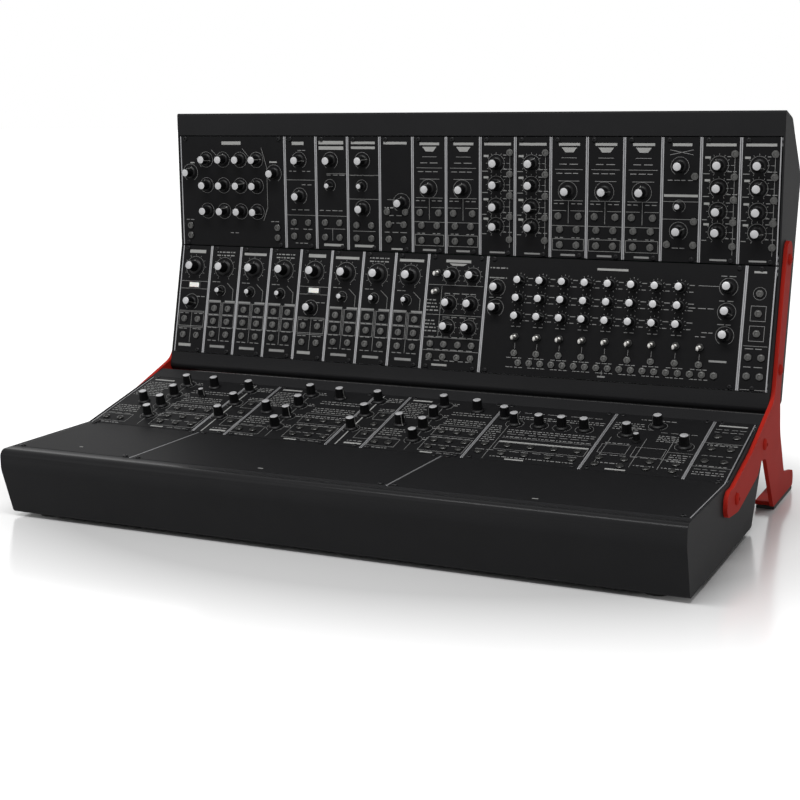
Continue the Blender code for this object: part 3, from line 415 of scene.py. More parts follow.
for case_name in ("lower", "upper"):
    place = CASES[case_name]
    solid, hollow = bmesh.new(), bmesh.new()
    outline = case_line + [(ROW_TWO_START, ROW_ONE_HEIGHT)]
    stack(solid, [[(x, u, v) for u, v in outline] for x in (-OUTER_HALF, OUTER_HALF)], place)
    stack(hollow, [[(x, u, v) for u, v in inner_line + mouth] for x in (-INNER_HALF, INNER_HALF)], place)
    shell = mesh_object(case_name + "_case", solid, black_coat)
    cut(shell, mesh_object("hollow", hollow, black_coat))
    wall = rear_wall_frame(place)
    holes = bmesh.new()
    stack(holes, turned([(INLET_HOLE, -OVERRUN), (INLET_HOLE, OVERRUN)], INLET_SIDES),
          wall @ Matrix.Translation((INLET_OFFSET, 0, 0)))
    stack(holes, [rectangle(*POWER_HOLE, z) for z in (-OVERRUN, OVERRUN)],
          wall @ Matrix.Translation((POWER_SWITCH_OFFSET, 0, 0)))
    cut(shell, mesh_object("holes", holes, black_coat))
    soften(shell, 0.5 * MM)
    layer = shell.data.attributes.new("handled", "FLOAT", "CORNER")
    home = place.inverted()
    for face in shell.data.polygons:
        for corner in face.loop_indices:
            spot = home @ shell.data.vertices[shell.data.loops[corner].vertex_index].co
            near_bend = spot.y < BEND_REACH - FRONT_RIM and spot.z > ROW_ONE_HEIGHT - BEND_REACH
            on_end_wall = abs(face.normal.x) >= 0.5
            layer.data[corner].value = 1.0 if near_bend and not on_end_wall else 0.0
    keep(shell, "frame", "case_steel", case_name + "_case_shell")


# Modules: plates of 2 mm aluminium, sheared, their milled sides left bare, faces anodised black.
# Every width is a multiple of the rack pitch, and each plate is drilled for its sockets, turning knobs,
# toggles and rockers.
def grid(across_shares, up_shares):
    """Places in a grid: shares of a module's width and of the panel height."""
    return [(across, up) for up in up_shares for across in across_shares]


def module(node, width, knobs=(), **fittings):
    """One module: its CAD node, its width in rack pitches, and the places of its fittings by kind.

    Steps, trims and jacks are places too; turning, toggles and rockers are (name, across, up).
    """
    return {"node": node, "width": width, "knobs": knobs, **fittings}


def title(left, right, up=0.94, height=0.022):
    """A bar that stands for a module's printed title."""
    return ("bar", left, up - height / 2, right, up + height / 2)


def rule(up, left=0.03, right=0.97):
    """A printed line across a module."""
    return ("line", left, up, right, up)


def prints(**kinds):
    """The printed marks of a module by kind, in shares of its width and of the panel height.

    Bars, blocks, boxes and fields are left, low, right, high, and lines and fills are runs of points.
    Words are left, height, right and their number. Dials, rings and ticks are a place and a radius in mm.
    """
    drawn = {"title": title, "rule": rule}
    return [drawn[kind](*values) if kind in drawn else (kind, *values)
            for kind, rows in kinds.items() for values in rows]


def each(places, kind, radius):
    """A round mark, its radius in mm, at each of a list of places."""
    return [(kind, across, up, radius) for across, up in places]


PANEL_SLIT = 0.4 * MM
PAIR_ACROSS = (0.27, 0.73)
PAIR = grid(PAIR_ACROSS, (0.24, 0.11))
LOW_PAIR = grid(PAIR_ACROSS, (0.11,))
COLUMN_UP = (0.88, 0.65, 0.43, 0.22)
FOUR_UP = (0.78, 0.60, 0.415, 0.25)
STEP_ACROSS = [0.140 + 0.0893 * step for step in range(9)]
HALF_STEPS = [0.160 + 0.0443 * step for step in range(18)]
STEP_KNOBS = grid(STEP_ACROSS[:-1], (0.80, 0.648, 0.495))
SIDE_KNOBS = [(0.047, 0.73), (0.047, 0.56), (0.94, 0.82), (0.94, 0.62), (0.94, 0.43)]
MIXER_KNOBS = grid((0.407, 0.768), (0.82, 0.575, 0.37))
BANK_KNOBS = grid((0.25, 0.413, 0.575, 0.732), (0.79, 0.555, 0.32))
BANK_SIDE_KNOBS = [(0.093, 0.67), (0.896, 0.67)]
THREE_PLACES = grid((0.25,), (0.86, 0.59, 0.32))
LARGE_PLACE = (0.475, 0.80)
# Radii of printed dials in mm: round small, plain and large knobs, and of the ticks outside them.
SMALL_DIAL, DIAL, LARGE_DIAL = 6.5, 9.5, 12.5
STEP_TICKS, TICKS, LARGE_TICKS = 7.3, 10.3, 13.6
BANK_DIAL, BANK_RING, TRIM_DIAL = 10, 9, 7
LEVEL_PLACE, LEVEL_DIAL = (0.475, 0.555), 10.5
LEVEL_MARKS = prints(
    title=[(0.22, 0.8)],
    fill=[(0.3, 0.915, 0.72, 0.915, 0.62, 0.875, 0.4, 0.875)],
    rule=[(0.83, 0.3, 0.72), (0.64, 0.22, 0.8), (0.478, 0.1, 0.9), (0.27,), (0.735, 0.12, 0.88),
        (0.395, 0.06, 0.44), (0.395, 0.56, 0.94)],
    words=[(0.24, 0.775, 0.8, 2), (0.1, 0.45, 0.42, 2), (0.58, 0.45, 0.92, 2), (0.14, 0.168, 0.4, 2),
        (0.6, 0.168, 0.86, 2), (0.16, 0.7, 0.84, 3)],
    line=[(0.5, 0.478, 0.5, 0.29)],
    block=[(0.3, 0.018, 0.7, 0.034)],
    box=[(0.07, 0.065, 0.93, 0.16)])
OFFSET_MARKS = prints(
    title=[(0.125, 0.83, 0.945)],
    rule=[(0.455, 0.22, 0.55)],
    words=[(0.28, 0.315, 0.72, 2), (0.24, 0.25, 0.76, 2), (0.14, 0.168, 0.86, 3)],
    bar=[(0.34, 0.018, 0.68, 0.032)],
    field=[(0.14, 0.37, 0.42, 0.42)])
FOUR_MARKS = prints(
    title=[(0.12, 0.88)],
    block=[(0.28, 0.02, 0.72, 0.034)],
    line=[(0.85, 0.9, 0.85, 0.07)])
for up in FOUR_UP:
    FOUR_MARKS += [("dial", 0.46, up, DIAL), ("bar", 0.10, up + 0.052, 0.24, up + 0.070),
                   ("words", 0.66, up + 0.066, 0.96, 2), ("line", 0.66, up, 0.85, up),
                   ("ticks", 0.46, up, TICKS), ("words", 0.66, up - 0.052, 0.96, 2),
                   ("words", 0.06, up - 0.070, 0.26, 1)]
OSCILLATOR_MARKS = prints(
    dial=[(*LARGE_PLACE, LARGE_DIAL), (0.42, 0.585, SMALL_DIAL)],
    ticks=[(*LARGE_PLACE, LARGE_TICKS)],
    words=[(0.12, 0.665, 0.44, 2), (0.1, 0.358, 0.42, 2), (0.58, 0.358, 0.9, 2), (0.1, 0.238, 0.42, 2),
        (0.58, 0.238, 0.9, 2), (0.12, 0.118, 0.44, 2), (0.56, 0.118, 0.88, 2)],
    line=[(0.62, 0.66, 0.84, 0.6, 0.84, 0.5), (0.5, 0.48, 0.5, 0.12)],
    box=[(0.06, 0.365, 0.46, 0.475), (0.54, 0.365, 0.94, 0.475), (0.06, 0.245, 0.46, 0.355),
        (0.54, 0.245, 0.94, 0.355)],
    block=[(0.06, 0.48, 0.46, 0.496), (0.6, 0.48, 0.94, 0.496), (0.22, 0.055, 0.72, 0.078)])
BLOCK_TITLE = ("field", 0.20, 0.905, 0.82, 0.965)
LINE_TITLE = ("bar", 0.12, 0.925, 0.86, 0.948)
SEQUENCER_MARKS = prints(
    bar=[(0.442, 0.915, 0.562, 0.933)],
    block=[(0.477, 0.028, 0.507, 0.04), (0.89, 0.212, 0.955, 0.228)],
    line=[(0.492, 0.04, 0.492, 0.085), (0.83, 0.823, 0.905, 0.823)],
    field=[(0.013, 0.89, 0.085, 0.925), (0.013, 0.805, 0.085, 0.84)],
    words=[(0.8, 0.637, 0.905, 3), (0.855, 0.443, 0.905, 2)])
for across, up in SIDE_KNOBS:
    SEQUENCER_MARKS += [("dial", across, up, DIAL), ("words", across - 0.03, up + 0.085, across + 0.03, 2)]
for across in STEP_ACROSS:
    SEQUENCER_MARKS += [
        ("words", across - 0.022, 0.408, across + 0.022, 2), ("line", across, 0.270, across, 0.222),
        ("words", across - 0.030, 0.142, across + 0.040, 3),
        ("words", across - 0.030, 0.062, across + 0.040, 4)]
for across, up in STEP_KNOBS:
    SEQUENCER_MARKS += [
        ("ticks", across, up, STEP_TICKS), ("words", across + 0.032, up + 0.02, across + 0.058, 1),
        ("words", across + 0.032, up - 0.035, across + 0.058, 1)]


def generator_marks(column):
    """Print of a wide module of row C: a line through its knob column and fields beside it."""
    marks = prints(
        line=[(column, 0.04, column, 0.97), (0.54, 0.335, 0.54, 0.53, 0.97, 0.53)],
        rule=[(0.335, 0.54, 0.97)],
        box=[(0.02, 0.06, 0.3, 0.2), (0.54, 0.06, 0.97, 0.3)],
        title=[(0.06, 0.26, 0.94)],
        field=[(0.55, 0.44, 0.97, 0.5), (0.04, 0.6, 0.3, 0.9), (0.04, 0.255, 0.3, 0.4),
            (0.56, 0.55, 0.97, 0.66), (0.56, 0.72, 0.97, 0.8), (0.03, 0.02, 0.28, 0.05)],
        words=[(0.04, 0.215, 0.28, 3), (0.56, 0.305, 0.96, 6), (0.56, 0.165, 0.96, 6),
            (0.74, 0.028, 0.96, 3)],
        bar=[(0.58, 0.022, 0.7, 0.04)])
    for up in COLUMN_UP:
        marks += [("dial", column, up, DIAL), ("field", column + 0.08, up + 0.01, column + 0.15, up + 0.07)]
    return marks


THREE_MARKS = prints(
    bar=[(0.232, 0.02, 0.268, 0.98), (0.44, 0.05, 0.92, 0.075)],
    field=[(0.46, 0.86, 0.95, 0.95), (0.5, 0.68, 0.95, 0.74), (0.52, 0.33, 0.95, 0.38),
        (0.46, 0.09, 0.95, 0.14)],
    box=[(0.55, 0.52, 0.96, 0.66), (0.55, 0.16, 0.96, 0.31)]) + each(THREE_PLACES, "dial", DIAL)
GENERATOR_JACKS = grid((0.08, 0.22), (0.12,)) + grid((0.62, 0.77, 0.92), (0.40, 0.24, 0.12))
THREE_JACKS = grid((0.76,), (0.60, 0.42, 0.24))
AMPLIFIER = module("row_a_modules", 8, [LEVEL_PLACE], jacks=PAIR + grid((0.22, 0.78), (0.35,)),
                   marks=LEVEL_MARKS + prints(dial=[(*LEVEL_PLACE, LEVEL_DIAL)]))
ATTENUATOR = module("row_a_modules", 8, grid((0.46,), FOUR_UP),
                    jacks=grid((0.85,), (0.87, 0.69, 0.51, 0.33, 0.14)), marks=FOUR_MARKS)
THREE_KNOBS = module("row_c_modules", 8, THREE_PLACES, jacks=THREE_JACKS, marks=THREE_MARKS)


def level(number, across, up, marks=LEVEL_MARKS):
    """A module of row A whose one knob turns."""
    return module("row_a_modules", 8, jacks=AMPLIFIER["jacks"],
                  turning=[("level_knob_%d" % number, across, up)],
                  marks=marks + [("dial", across, up, LEVEL_DIAL)])


def oscillator(number, heading):
    """A module of row B: a large turning knob over a trimmer and six sockets."""
    return module("oscillator_module_%d" % number, 8, trims=[(0.42, 0.585)],
                  jacks=grid(PAIR_ACROSS, (0.42, 0.30, 0.18)), marks=[heading] + OSCILLATOR_MARKS,
                  turning=[("tuning_knob_%d" % number, *LARGE_PLACE)])


def driver(number, rocker):
    """A module of row B: a large turning knob, a white rocker, a knob and four sockets."""
    marks = prints(
        title=[(0.25, 0.8, 0.945, 0.03)],
        dial=[(*LARGE_PLACE, LARGE_DIAL), (0.45, 0.47, DIAL)],
        ticks=[(*LARGE_PLACE, LARGE_TICKS)],
        rule=[(0.665, 0.05, 0.95), (0.595, 0.05, 0.95), (0.375, 0.08, 0.92), (0.232, 0.08, 0.92)],
        words=[(0.62, 0.52, 0.92, 2), (0.1, 0.36, 0.44, 2), (0.58, 0.36, 0.92, 2), (0.1, 0.215, 0.44, 2),
            (0.58, 0.215, 0.92, 2)],
        bar=[(0.14, 0.052, 0.56, 0.078)],
        box=[(0.08, 0.245, 0.92, 0.385)],
        line=[(0.5, 0.385, 0.5, 0.09)])
    return module("driver_module_%d" % rocker, 8, [(0.45, 0.47)], jacks=grid(PAIR_ACROSS, (0.31, 0.16)),
                  turning=[("tuning_knob_%d" % number, *LARGE_PLACE)], marks=marks,
                  rockers=[("range_rocker_%d" % rocker, 0.52, 0.63)])


def generator(width, column, others, trims=()):
    """A wide module of row C with a column of four knobs."""
    return module("row_c_modules", width, grid((column,), COLUMN_UP) + others, trims=trims,
                  jacks=GENERATOR_JACKS, marks=generator_marks(column))


# Marks named by a row and a number are those of one module, counted from the left.
A1_MARKS = prints(
    title=[(0.405, 0.587, 0.94, 0.03)],
    bar=[(0.855, 0.765, 0.925, 0.778), (0.095, 0.755, 0.135, 0.765)],
    words=[(0.86, 0.232, 0.94, 2), (0.04, 0.232, 0.12, 2), (0.47, 0.12, 0.56, 2)],
    line=[(0.3, 0.88, 0.35, 0.83), (0.6, 0.89, 0.66, 0.82), (0.78, 0.9, 0.83, 0.72, 0.83, 0.36, 0.79, 0.24),
        (0.16, 0.8, 0.2, 0.72)])
A1_MARKS += each(BANK_SIDE_KNOBS, "dial", BANK_DIAL) + each(BANK_KNOBS, "ring", BANK_RING)
A2_MARKS = prints(
    title=[(0.24, 0.62, 0.94, 0.028)],
    words=[(0.42, 0.875, 0.72, 2), (0.56, 0.69, 0.86, 2), (0.14, 0.69, 0.4, 2), (0.54, 0.57, 0.9, 2),
        (0.2, 0.345, 0.8, 3), (0.14, 0.172, 0.42, 2), (0.56, 0.172, 0.88, 2), (0.3, 0.045, 0.72, 3)],
    dial=[(0.46, 0.79, DIAL), (0.46, 0.47, DIAL)],
    rule=[(0.615,), (0.3,)])
A3_MARKS = prints(
    bar=[(0.1, 0.885, 0.88, 0.915), (0.1, 0.932, 0.88, 0.962), (0.22, 0.03, 0.84, 0.052)],
    dial=[(0.46, 0.79, DIAL), (0.44, 0.57, TRIM_DIAL)],
    rule=[(0.675, 0.34, 0.97), (0.3,), (0.185, 0.24, 0.9)],
    words=[(0.34, 0.66, 0.94, 3), (0.1, 0.345, 0.9, 4)],
    line=[(0.5, 0.19, 0.5, 0.08)])
A4_MARKS = prints(
    bar=[(0.12, 0.893, 0.86, 0.915), (0.12, 0.935, 0.86, 0.957), (0.2, 0.03, 0.8, 0.052)],
    dial=[(0.46, 0.79, DIAL), (0.44, 0.57, TRIM_DIAL), (0.46, 0.37, DIAL)],
    rule=[(0.665,), (0.455,), (0.172, 0.15, 0.85)],
    words=[(0.1, 0.66, 0.9, 4)])
A13_MARKS = prints(
    title=[(0.26, 0.76)],
    dial=[(0.46, 0.77, DIAL), (0.46, 0.45, SMALL_DIAL), (0.46, 0.25, DIAL)],
    words=[(0.15, 0.655, 0.85, 4), (0.3, 0.11, 0.7, 2)],
    bar=[(0.06, 0.525, 0.94, 0.545)],
    rule=[(0.487,), (0.345,)],
    line=[(0.2, 0.9, 0.8, 0.86), (0.2, 0.86, 0.8, 0.9)])
MIXER_MARKS = prints(
    title=[(0.3, 0.72, 0.945, 0.024)],
    fill=[(0.36, 0.925, 0.66, 0.925, 0.6, 0.905, 0.42, 0.905)],
    rule=[(0.735, 0.04, 0.96), (0.475, 0.04, 0.96), (0.275,), (0.165,)],
    bar=[(0.2, 0.03, 0.46, 0.048)],
    words=[(0.1, 0.28, 0.9, 6), (0.1, 0.17, 0.9, 6), (0.1, 0.075, 0.9, 6), (0.32, 0.455, 0.9, 4),
        (0.32, 0.66, 0.9, 4)],
    field=[(0.03, 0.5, 0.24, 0.62), (0.03, 0.32, 0.24, 0.44)],
    line=[(0.265, 0.725, 0.265, 0.29)])
MIXER_MARKS += each(MIXER_KNOBS, "dial", DIAL) + each(MIXER_KNOBS, "ticks", TICKS)
OUTPUT_MARKS = prints(
    title=[(0.26, 0.68, 0.95, 0.016)],
    ring=[(0.5, 0.78, SMALL_DIAL)],
    line=[(0.1, 0.012, 0.95, 0.012)],
    box=[(0.25, 0.56, 0.75, 0.68), (0.25, 0.4, 0.75, 0.52)],
    rule=[(0.36, 0.1, 0.9)],
    words=[(0.15, 0.335, 0.85, 2), (0.15, 0.19, 0.85, 2)])
C6_MARKS = prints(
    line=[(0.17, 0.02, 0.17, 0.9)],
    words=[(0.22, 0.87, 0.95, 7), (0.22, 0.47, 0.95, 8), (0.05, 0.17, 0.95, 9)],
    rule=[(0.4, 0.2, 0.97)],
    fill=[(0.2, 0.325, 0.97, 0.325, 0.97, 0.345, 0.2, 0.345)],
    bar=[(0.36, 0.03, 0.52, 0.05)],
    box=[(0.2, 0.2, 0.97, 0.32)],
    field=[(0.2, 0.5, 0.97, 0.57), (0.03, 0.3, 0.15, 0.62), (0.2, 0.75, 0.97, 0.82),
        (0.22, 0.062, 0.95, 0.09), (0.2, 0.41, 0.97, 0.45)])
C6_MARKS += each(grid((0.21, 0.43, 0.63, 0.825), (0.66,)), "dial", DIAL)
C7_MARKS = prints(
    box=[(0.06, 0.3, 0.34, 0.45), (0.4, 0.28, 0.7, 0.44)],
    rule=[(0.4, 0.72, 0.97)],
    line=[(0.1, 0.58, 0.1, 0.12), (0.45, 0.6, 0.45, 0.1), (0.72, 0.62, 0.72, 0.1)],
    words=[(0.12, 0.75, 0.5, 4), (0.55, 0.72, 0.95, 4), (0.1, 0.265, 0.9, 8)],
    bar=[(0.24, 0.03, 0.44, 0.05)],
    field=[(0.28, 0.91, 0.66, 0.96), (0.05, 0.72, 0.36, 0.86), (0.55, 0.56, 0.8, 0.68),
        (0.76, 0.24, 0.97, 0.38), (0.13, 0.12, 0.42, 0.17), (0.48, 0.12, 0.7, 0.17),
        (0.75, 0.12, 0.97, 0.17), (0.08, 0.46, 0.34, 0.5)],
    dial=[(0.235, 0.64, DIAL), (0.48, 0.83, DIAL), (0.85, 0.51, DIAL)])
C8_MARKS = prints(
    title=[(0.15, 0.85, 0.93)],
    words=[(0.12, 0.86, 0.9, 4), (0.12, 0.81, 0.9, 4), (0.12, 0.6, 0.9, 4), (0.12, 0.4, 0.9, 4),
        (0.12, 0.17, 0.9, 4)],
    rule=[(0.62,), (0.215,)],
    field=[(0.12, 0.08, 0.9, 0.15), (0.12, 0.57, 0.9, 0.6), (0.12, 0.22, 0.9, 0.25)])
MODULES = {
    "a": [
        module("row_a_modules", 28, BANK_KNOBS + BANK_SIDE_KNOBS, jacks=grid((0.08, 0.92), (0.18, 0.09)),
               marks=A1_MARKS),
        module("row_a_modules", 8, [(0.46, 0.79), (0.46, 0.47)],
               jacks=LOW_PAIR + grid(PAIR_ACROSS, (0.235,)), marks=A2_MARKS),
        module("row_a_modules", 8, [(0.46, 0.79)], trims=[(0.44, 0.57)], jacks=PAIR, marks=A3_MARKS),
        module("row_a_modules", 8, [(0.46, 0.79), (0.46, 0.37)], trims=[(0.44, 0.57)],
               jacks=LOW_PAIR + grid(PAIR_ACROSS, (0.225,)), marks=A4_MARKS),
        level(1, 0.66, 0.43, OFFSET_MARKS), level(2, *LEVEL_PLACE), level(3, *LEVEL_PLACE),
        ATTENUATOR, ATTENUATOR, AMPLIFIER, AMPLIFIER, AMPLIFIER,
        module("row_a_modules", 8, [(0.46, 0.77), (0.46, 0.25)], trims=[(0.46, 0.45)],
               jacks=grid((0.85,), (0.69, 0.33, 0.14)) + [(0.16, 0.14)], marks=A13_MARKS),
        ATTENUATOR, ATTENUATOR],
    "b": [
        driver(1, 1), oscillator(2, BLOCK_TITLE), oscillator(3, LINE_TITLE), oscillator(4, BLOCK_TITLE),
        driver(5, 2), oscillator(6, LINE_TITLE), oscillator(7, BLOCK_TITLE), oscillator(8, LINE_TITLE),
        module("mixer_module", 14, MIXER_KNOBS, jacks=grid((0.15, 0.38, 0.62, 0.85), (0.22, 0.11)),
               toggles=[("mixer_switch_1", 0.18, 0.84), ("mixer_switch_2", 0.18, 0.68)], marks=MIXER_MARKS),
        module("sequencer_module", 56, SIDE_KNOBS, steps=STEP_KNOBS,
               jacks=grid(STEP_ACROSS, (0.185,)) + grid(HALF_STEPS, (0.105,)),
               toggles=[("step_switch_%d" % (i + 1), across, 0.325) for i, across in enumerate(STEP_ACROSS)],
               marks=SEQUENCER_MARKS),
        module("output_module", 6,
               jacks=grid((0.5,), (0.78, 0.62, 0.46)) + grid((0.28, 0.72), (0.27, 0.12)),
               marks=OUTPUT_MARKS)],
    "c": [
        generator(26, 0.44, [(0.235, 0.48), (0.715, 0.88)], [(0.70, 0.68)]), THREE_KNOBS,
        generator(24, 0.39, [(0.15, 0.49), (0.70, 0.86)]), THREE_KNOBS,
        generator(22, 0.42, [(0.16, 0.47), (0.78, 0.84)]),
        module("row_c_modules", 24,
               [(0.083, 0.76), (0.21, 0.66), (0.43, 0.66), (0.63, 0.66), (0.825, 0.66)],
               jacks=grid((0.10, 0.30, 0.50, 0.70, 0.90), (0.26, 0.12)), marks=C6_MARKS),
        module("row_c_modules", 20, [(0.235, 0.64), (0.48, 0.83), (0.85, 0.51)], trims=[(0.37, 0.53)],
               jacks=grid((0.12, 0.37, 0.62, 0.87), (0.20, 0.09)), marks=C7_MARKS),
        module("row_c_modules", 8, jacks=grid(PAIR_ACROSS, (0.72, 0.51, 0.30)), marks=C8_MARKS)],
    "d": [module("blank_panel_left", 28, marks=prints(bar=[(0.46, 0.155, 0.49, 0.17)])),
          module("blank_panel_middle", 56, marks=prints(bar=[(0.495, 0.085, 0.515, 0.1)])),
          module("blank_panel_right", 56, marks=prints(bar=[(0.49, 0.055, 0.51, 0.07)]))]}


def laid_out(row):
    """The modules of a row, each with its left edge and its width."""
    start = -ROW_WIDTH / 2
    for unit in MODULES[row]:
        width = unit["width"] * HP
        yield unit, start, width
        start += width


def places(row, kind):
    """Where a row carries a kind of fitting, as (name, x, s) in the row's frame."""
    found = []
    for unit, start, width in laid_out(row):
        for spot in unit.get(kind, ()):
            name = spot[0] if isinstance(spot[0], str) else ""
            found.append((name, start + spot[-2] * width, spot[-1] * PANEL_HEIGHT))
    return found


# Bare aluminium: rolled sheet, sheared and tumbled, dull and pale. It shows at a plate's sides.
bare_aluminium = surface("bare aluminium", "#929294", 0.42, 0.5, (0.5, 0.012), ("#8d8d8f", "#979799"),
                         stretch=(1, 1, 12))
# Black anodising: dyed oxide on a lightly blasted face, dark and even with a weak satin sheen.
black_face = surface("black anodised face", "#121213", 0.55, 0, (0.35, 0.010), ("#111112", "#151516"),
                     (0.48, 0.60), Specular_IOR_Level=0.06)

FACE_INSET = {"a": 1.25 * MM, "b": 1.25 * MM, "c": 1.25 * MM, "d": 0.7 * MM}
FACE_DEPTH = 1.0 * MM
PLATE_DROP = 0.06 * MM
PLATE_SETBACK = 0.1 * MM
LARGE_KNOB = (9.0 * MM, 6.4 * MM, 5.0 * MM, 15.0 * MM)
MEDIUM_KNOB = (7.0 * MM, 5.4 * MM, 4.6 * MM, 13.0 * MM)
STEP_KNOB = (5.8 * MM, 5.2 * MM, 4.3 * MM, 12.0 * MM)
TRIM_KNOB = (4.4 * MM, 4.0 * MM, 3.2 * MM, 9.5 * MM)
SHAFT_HOLE = 3.5 * MM
SOCKET_HOLE = 2.9 * MM
RANGE_ROCKER = (6.2 * MM, 2.8 * MM)
ROCKER_SWEEP = 0.9 * MM
ROCKER_SIDE = 0.4 * MM
HOLE_SIDES = 16
RANGE_WELL = (RANGE_ROCKER[0] + ROCKER_SWEEP, RANGE_ROCKER[1] + ROCKER_SIDE)


def slab(builder, left, low, right, high, bottom, top):
    """A flat plate between two corners of a row's (x, s) and two heights."""
    shift = Matrix.Translation(((left + right) / 2, (low + high) / 2, 0))
    half_x, half_y = (right - left) / 2, (high - low) / 2
    stack(builder, [rectangle(half_x, half_y, bottom), rectangle(half_x, half_y, top)], shift)


for row, units in MODULES.items():
    plates, faces, holes = bmesh.new(), bmesh.new(), bmesh.new()
    for unit, start, width in laid_out(row):
        left, right = start + PANEL_SLIT / 2, start + width - PANEL_SLIT / 2
        slab(plates, left, PLATE_SETBACK, right, PANEL_HEIGHT - PLATE_SETBACK, -PANEL_THICKNESS, -PLATE_DROP)
        slab(faces, left + FACE_INSET[row], 0, right - FACE_INSET[row], PANEL_HEIGHT, -FACE_DEPTH, 0)
    for kind, radius in (("jacks", SOCKET_HOLE), ("turning", SHAFT_HOLE), ("toggles", SHAFT_HOLE)):
        bore = turned([(radius, -OVERRUN), (radius, OVERRUN)], HOLE_SIDES)
        for name, x, s in places(row, kind):
            stack(holes, bore, Matrix.Translation((x, s, 0)))
    for name, x, s in places(row, "rockers"):
        stack(holes, [rectangle(*RANGE_WELL, z) for z in (-OVERRUN, OVERRUN)], Matrix.Translation((x, s, 0)))
    drill = mesh_object("drill", holes, None)
    for suffix, builder, material, width in (("plates", plates, bare_aluminium, 0.35 * MM),
                                             ("faces", faces, black_face, 0.12 * MM)):
        piece = mesh_object("row_%s_%s" % (row, suffix), builder, material)
        if drill.data.vertices:
            tool = drill.copy()
            bpy.context.collection.objects.link(tool)
            cut(piece, tool)
        soften(piece, width, segments=1)
        piece.data.transform(ROWS[row])
        nodes = sorted({unit["node"] for unit in units}) if suffix == "plates" else []
        keep(piece, "frame", "panel", *nodes)
    bpy.data.objects.remove(drill)


# Rails: extruded aluminium under the panel edges, with a channel for a threaded strip. Rows b and d
# keep the CAD's own, and rows a and c get theirs here. Clear anodised, with fine lines from the die.
rail_finish = surface("clear anodised extrusion", "#9c9d9f", 0.38, 0.85, (0.4, 0.01), ("#97989a", "#a1a2a4"),
                      stretch=(0.02, 1, 1))
RAIL_WIDTH = 9.0 * MM
RAIL_DEPTH = 13.0 * MM
CHANNEL_DEPTH = 6.0 * MM
CHANNEL_HALF = 2.8 * MM
CHANNEL_LIP = 1.6 * MM
SLOT_HALF = 1.4 * MM
CLEARANCE = 0.02 * MM


def recoat(node, material):
    """Gives its material to a CAD node that stays as it is."""
    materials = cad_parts[node].data.materials
    materials.clear()
    materials.append(material)


for row in ("b", "d"):
    for end in ("front", "rear"):
        recoat("row_%s_%s_rail" % (row, end), rail_finish)
half_channel = [(SLOT_HALF, 0), (SLOT_HALF, CHANNEL_LIP),
                (CHANNEL_HALF, CHANNEL_LIP), (CHANNEL_HALF, CHANNEL_DEPTH)]
for row in ("a", "c"):
    builder = bmesh.new()
    for start in (0, PANEL_HEIGHT - RAIL_WIDTH):
        top, middle = -PANEL_THICKNESS - CLEARANCE, RAIL_WIDTH / 2
        section = [(0, top), (0, top - RAIL_DEPTH), (RAIL_WIDTH, top - RAIL_DEPTH), (RAIL_WIDTH, top)]
        section += [(middle + side, top - down) for side, down in half_channel]
        section += [(middle - side, top - down) for side, down in reversed(half_channel)]
        half = INNER_HALF - GAP
        stack(builder, [[(x, start + s, n) for s, n in section] for x in (-half, half)])
    piece = mesh_object("row_%s_rails" % row, builder, rail_finish)
    soften(piece, 0.3 * MM, segments=1)
    piece.data.transform(ROWS[row])
    keep(piece, "frame", "rail")


# Printing: white epoxy ink through a silk screen, laid solid for titles and thinly for fine lines, which
# read grey on the black. Small print is too fine to show, so rows of short bars stand for its words.
solid_ink = surface("white screen printing ink", "#8e8e8c", 0.6, 0, (0.3, 0.01), ("#868684", "#969694"))
thin_ink = surface("thinly laid white ink", "#7a7a79", 0.6, 0, (0.3, 0.01), ("#6e6e6d", "#868685"))
INK_LOW = -0.02 * MM
INK_HIGH = 0.05 * MM
LINE_WIDTH = 0.45 * MM
DIAL_WIDTH = 0.3 * MM
WORD_HEIGHT = 0.75 * MM
WORD_SHARE, WORD_SPREAD = 0.62, 0.2
FIELD_PITCH = 4.4 * MM
FIELD_HEIGHT = 1.3 * MM
FIELD_GAP = 1.5 * MM
FIELD_BASE = 0.8
SHORT_BAR, BAR_STEP = 1.4, 1.2
MOST_BARS = 99
DIAL_START, DIAL_SWEEP, DIAL_STEPS = 240, 300, 40
TICK_COUNT, TICK_TURN, TICK_LENGTH = 11, 30, 1.6 * MM
MITRE_LIMIT = 0.3
SOLID_MARKS = ("bar", "fill")


def ribbon(builder, points, width, closed=False):
    """A line of ink through points (x, s), mitred at its bends."""
    count = len(points)
    rings = []
    for i, point in enumerate(points):
        here = Vector(point)
        before = Vector(points[i - 1]) if closed or i else None
        after = Vector(points[(i + 1) % count]) if closed or i < count - 1 else None
        runs = [(b - a).normalized() for a, b in ((before, here), (here, after))
                if a is not None and b is not None]
        normals = [Vector((-run.y, run.x)) for run in runs]
        middle = sum(normals, Vector((0, 0))).normalized()
        reach = middle * (width / 2 / max(MITRE_LIMIT, middle.dot(normals[0])))
        a, b = here + reach, here - reach
        rings.append([builder.verts.new((p.x, p.y, z))
                      for p, z in ((a, INK_LOW), (b, INK_LOW), (b, INK_HIGH), (a, INK_HIGH))])
    bridge(builder, rings + rings[:1] if closed else rings)
    if not closed:
        builder.faces.new(list(reversed(rings[0])))
        builder.faces.new(rings[-1])


